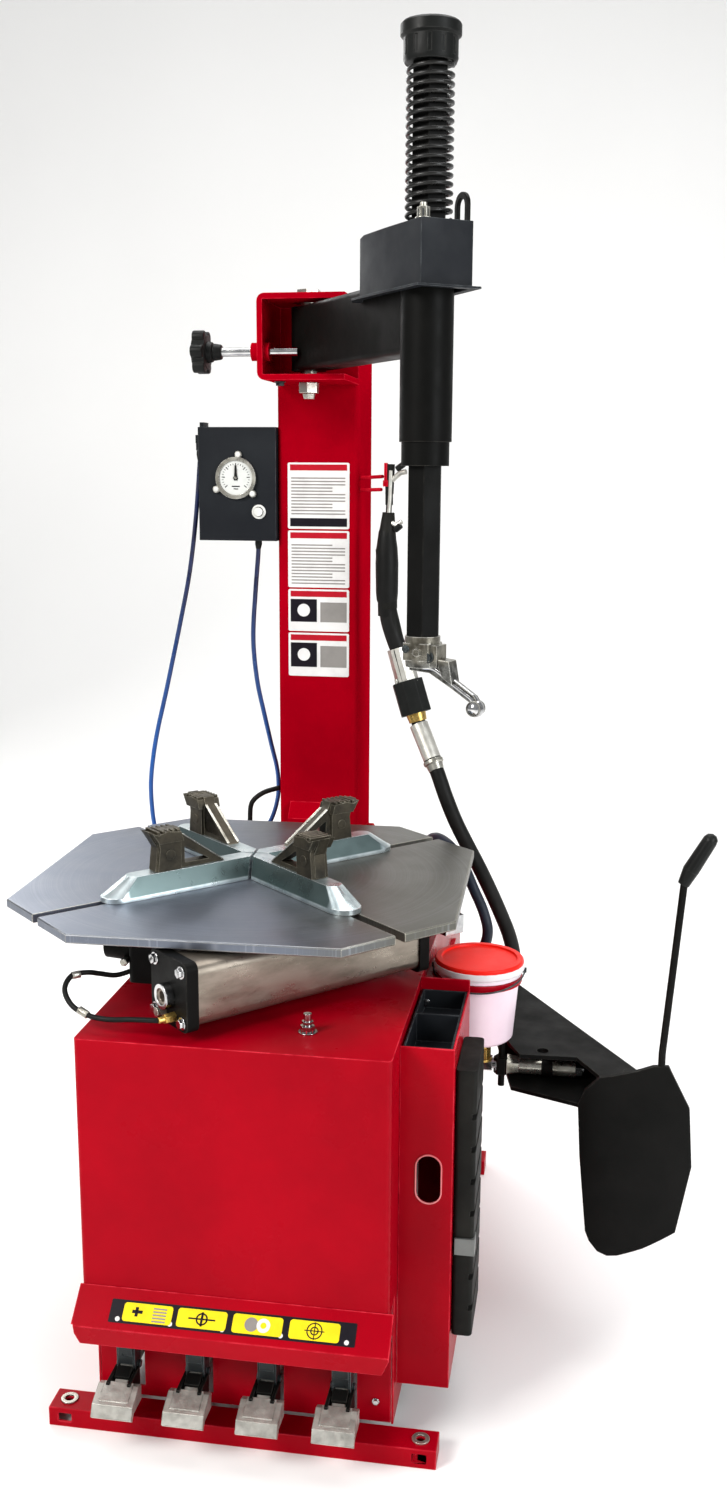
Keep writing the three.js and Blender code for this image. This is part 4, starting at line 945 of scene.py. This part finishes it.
def make_head_bits():
    """Bolts and nuts of the column's head and the bolt on the shaft clamp's cover."""
    bits = Shape().bolt((-22, 292, 1425.6), (0, 0, -1), 8)
    bits.bolt((62, 300, 1557.2), (0, 0, 1), 5).bolt((-24, 340, 1557.2), (0, 0, 1), 5)
    bits.build("head_bolts", DARK_BRACKET, "frame", "black_paint", 0.0005)
    nuts = Shape().rod((-53, SCREW_Y, SCREW_Z), (-47, SCREW_Y, SCREW_Z), 13, sides=6)
    nuts.rod((PIVOT_X, PIVOT_Y, 1408), (PIVOT_X, PIVOT_Y, 1400), 11, 9, 6)
    nuts.build("head_nuts", ZINC, "frame", "zinc_steel", 0.0005)
    cover = Shape(turned_frame(ARM_ANGLE, SHAFT.x, SHAFT.y)).bolt((38, -27, 1606.2), (0, 0, 1), 9.5, 13)
    cover.rod((38, -27, 1618), (38, -27, 1626), 4.5)
    cover.build("cover_bolt", ZINC, "arm", "zinc_steel", 0.0005)


def make_mount_finger():
    """Polished finger of the mount head with its ball end, wedge and bolts."""
    there = turned_frame(-0.35, SHAFT.x, SHAFT.y, SHAFT_BOTTOM)
    route = [(2, 0, -45), (20, 0, -46), (50, 0, -65.5), (70, 0, -78), (81, 0, -86), (84, 0, -98)]
    finger = Shape(there).sweep(smooth_path(route, 6), 6.6, 18)
    ball = 12.5
    angles = [math.pi * i / 12 for i in range(13)]
    profile = [(ball * math.sin(angle), ball - ball * math.cos(angle)) for angle in angles]
    finger.lathe(profile, (84, 0, -109.5), (84, 0, -84.5), 24)
    finger.build("mount_finger", CHROME, "tool_shaft", "chrome", 0)
    block = Shape(there).prism([(27, -31), (47, -33), (53, -66), (37, -57)], -12.6, 12.6, "Y")
    block.ink(1).bolt((16, -16, -28), (0, -1, 0), 8).bolt((-14, -24.4, -18), (0, -1, 0), 5)
    block.build("mount_wedge", [HEAD_METAL, DARK_BRACKET], "tool_shaft", "zinc_steel", 0.001)


def make_pail_bits():
    """White rim under the lid and the wire bail that hangs in front of the pail."""
    x, y, rim_z, ear_z, reach = 339, 3, 570, 568, 67.6
    rim = Shape().lathe([(61.8, 0), (66.8, 0), (67.4, 2), (67.0, 8.4), (66.2, 9.2), (61.8, 9.2)],
                        (x, y, rim_z), (x, y, rim_z + 10), 48)
    rim.lathe([(60.5, 0), (64.2, 0), (64.2, 2), (60.5, 2)], (x, y, rim_z - 4), (x, y, rim_z), 48)
    rim.build("pail_rim", PAIL_WHITE, "frame", "white_plastic", 0.0005)
    bail = []
    for i in range(25):
        angle = math.pi * (1 + i / 24)
        drop = 16 * math.sin(math.pi * i / 24)
        bail.append((x + reach * math.cos(angle), y + reach * math.sin(angle), ear_z - drop))
    wire = Shape().sweep(bail, 1.3, 8)
    wire.rod((x - 70, y, ear_z), (x - 62, y, ear_z), 4).rod((x + 62, y, ear_z), (x + 70, y, ear_z), 4)
    wire.build("pail_bail", DARK_BRACKET, "frame", "black_paint", 0)


def make_breaker_bits():
    """Oiler, pin and nuts on the end of the bead breaker's rod."""
    pin_x, pin_y, rod_y, rod_z = 376, 2, 5, 417
    brass = Shape().rod((349, 0, 428), (349, 0, 444), 11, sides=6).rod((349, 0, 444), (349, 0, 457), 8.5)
    brass.rod((349, 0, 424), (349, 0, 428), 13)
    brass.build("rod_oiler", BRASS, "breaker_rod", "zinc_steel", 0.0006)
    dark = Shape().rod((pin_x, pin_y, 384), (pin_x, pin_y, 456), 5)
    dark.rod((pin_x, pin_y, 404), (pin_x, pin_y, 430), 12, sides=6)
    dark.rod((436, rod_y, rod_z), (452, rod_y, rod_z), 14.6)
    dark.build("rod_pin", BLACK, "breaker_rod", "black_paint", 0.0006)
    pipe = Shape().rod((384, rod_y, rod_z), (402, rod_y, rod_z), 17, 14, 6)
    for start, end in ((402, 436), (452, 486)):
        pipe.rod((start, rod_y, rod_z), (end, rod_y, rod_z), 12.6)
    pipe.build("rod_nuts", ZINC, "breaker_rod", "zinc_steel", 0.0006)


def make_gun_bits():
    """Rubber sleeve, metal tubes, black valve, brass band and red tab of the blast gun."""
    profile = [(0, 0), (10.5, 0), (14, 12), (17.8, 38), (19.2, 62), (18.6, 112), (17.4, 124), (15.6, 128),
               (15.2, 150), (0, 150)]
    sleeve = Shape().lathe(profile, (143.5, 352, 1200), (145, 352, 1050), 24)
    bend = [(145.5, 352, 1064), (149, 352, 1042), (157, 352, 1016), (167, 352, 990)]
    sleeve.sweep(smooth_path(bend), 14.6, 20)
    sleeve.build("gun_sleeve", HOSE_BLACK, "frame", "rubber", 0)
    metal = Shape().rod((164.5, 352.2, 996), (181, 346.8, 942), 19.2, 19.8, 8)
    metal.sweep([(150, 346, 1288), (149, 346, 1246), (146, 346, 1204), (150, 346, 1190)], 3.2, 10)
    metal.rod((203, 335.8, 870), (229.4, 314.4, 815.4), 15.8, 15.2, 20)
    for dx, dy in ((-17, -13), (17, -14), (-16, 12), (17, 11)):
        metal.rod((183 + dx, 345 + dy, 934), (181 + dx, 346 + dy, 946), 3, sides=10)
    metal.sweep([(152, 348, 1272), (166, 344, 1284), (176, 340, 1286)], 4.5, 10)
    metal.sweep([(146, 348, 1206), (160, 344, 1200), (170, 342, 1206)], 4, 10)
    metal.build("gun_metal", ALLOY, "frame", "cast_aluminium", 0.0006)
    valve = Shape().rod((181, 346.6, 941), (198.5, 337.6, 888), 27.2, 27.2, 8)
    valve.rod((160, 346, 1290), (172, 342, 1298), 5).rod((146, 352, 1298), (147, 352, 1232), 6.4)
    valve.rod((158, 345, 1192), (168, 342, 1200), 5.5)
    valve.build("gun_valve", PLASTIC, "frame", "black_plastic", 0.0008)
    band = Shape().rod((197.5, 338, 889), (202, 335.6, 875), 17, 15)
    band.build("gun_brass", BRASS, "frame", "zinc_steel", 0.0004)
    tab = Shape().box(139, 144, 344, 356, 1270, 1300).box(137, 146, 345, 355, 1262, 1272)
    tab.build("gun_tab", RED, "frame", "red", 0.0006)


make_spring()
make_ferrules()
make_hood_tiles()
make_labels()
make_gauge_face()
make_cylinder_ends()
make_jaw_ramps()
make_table_underside()
make_pedal_brackets()
make_knob()
make_cabinet_bits()
make_head_bits()
make_mount_finger()
make_pail_bits()
make_breaker_bits()
make_gun_bits()
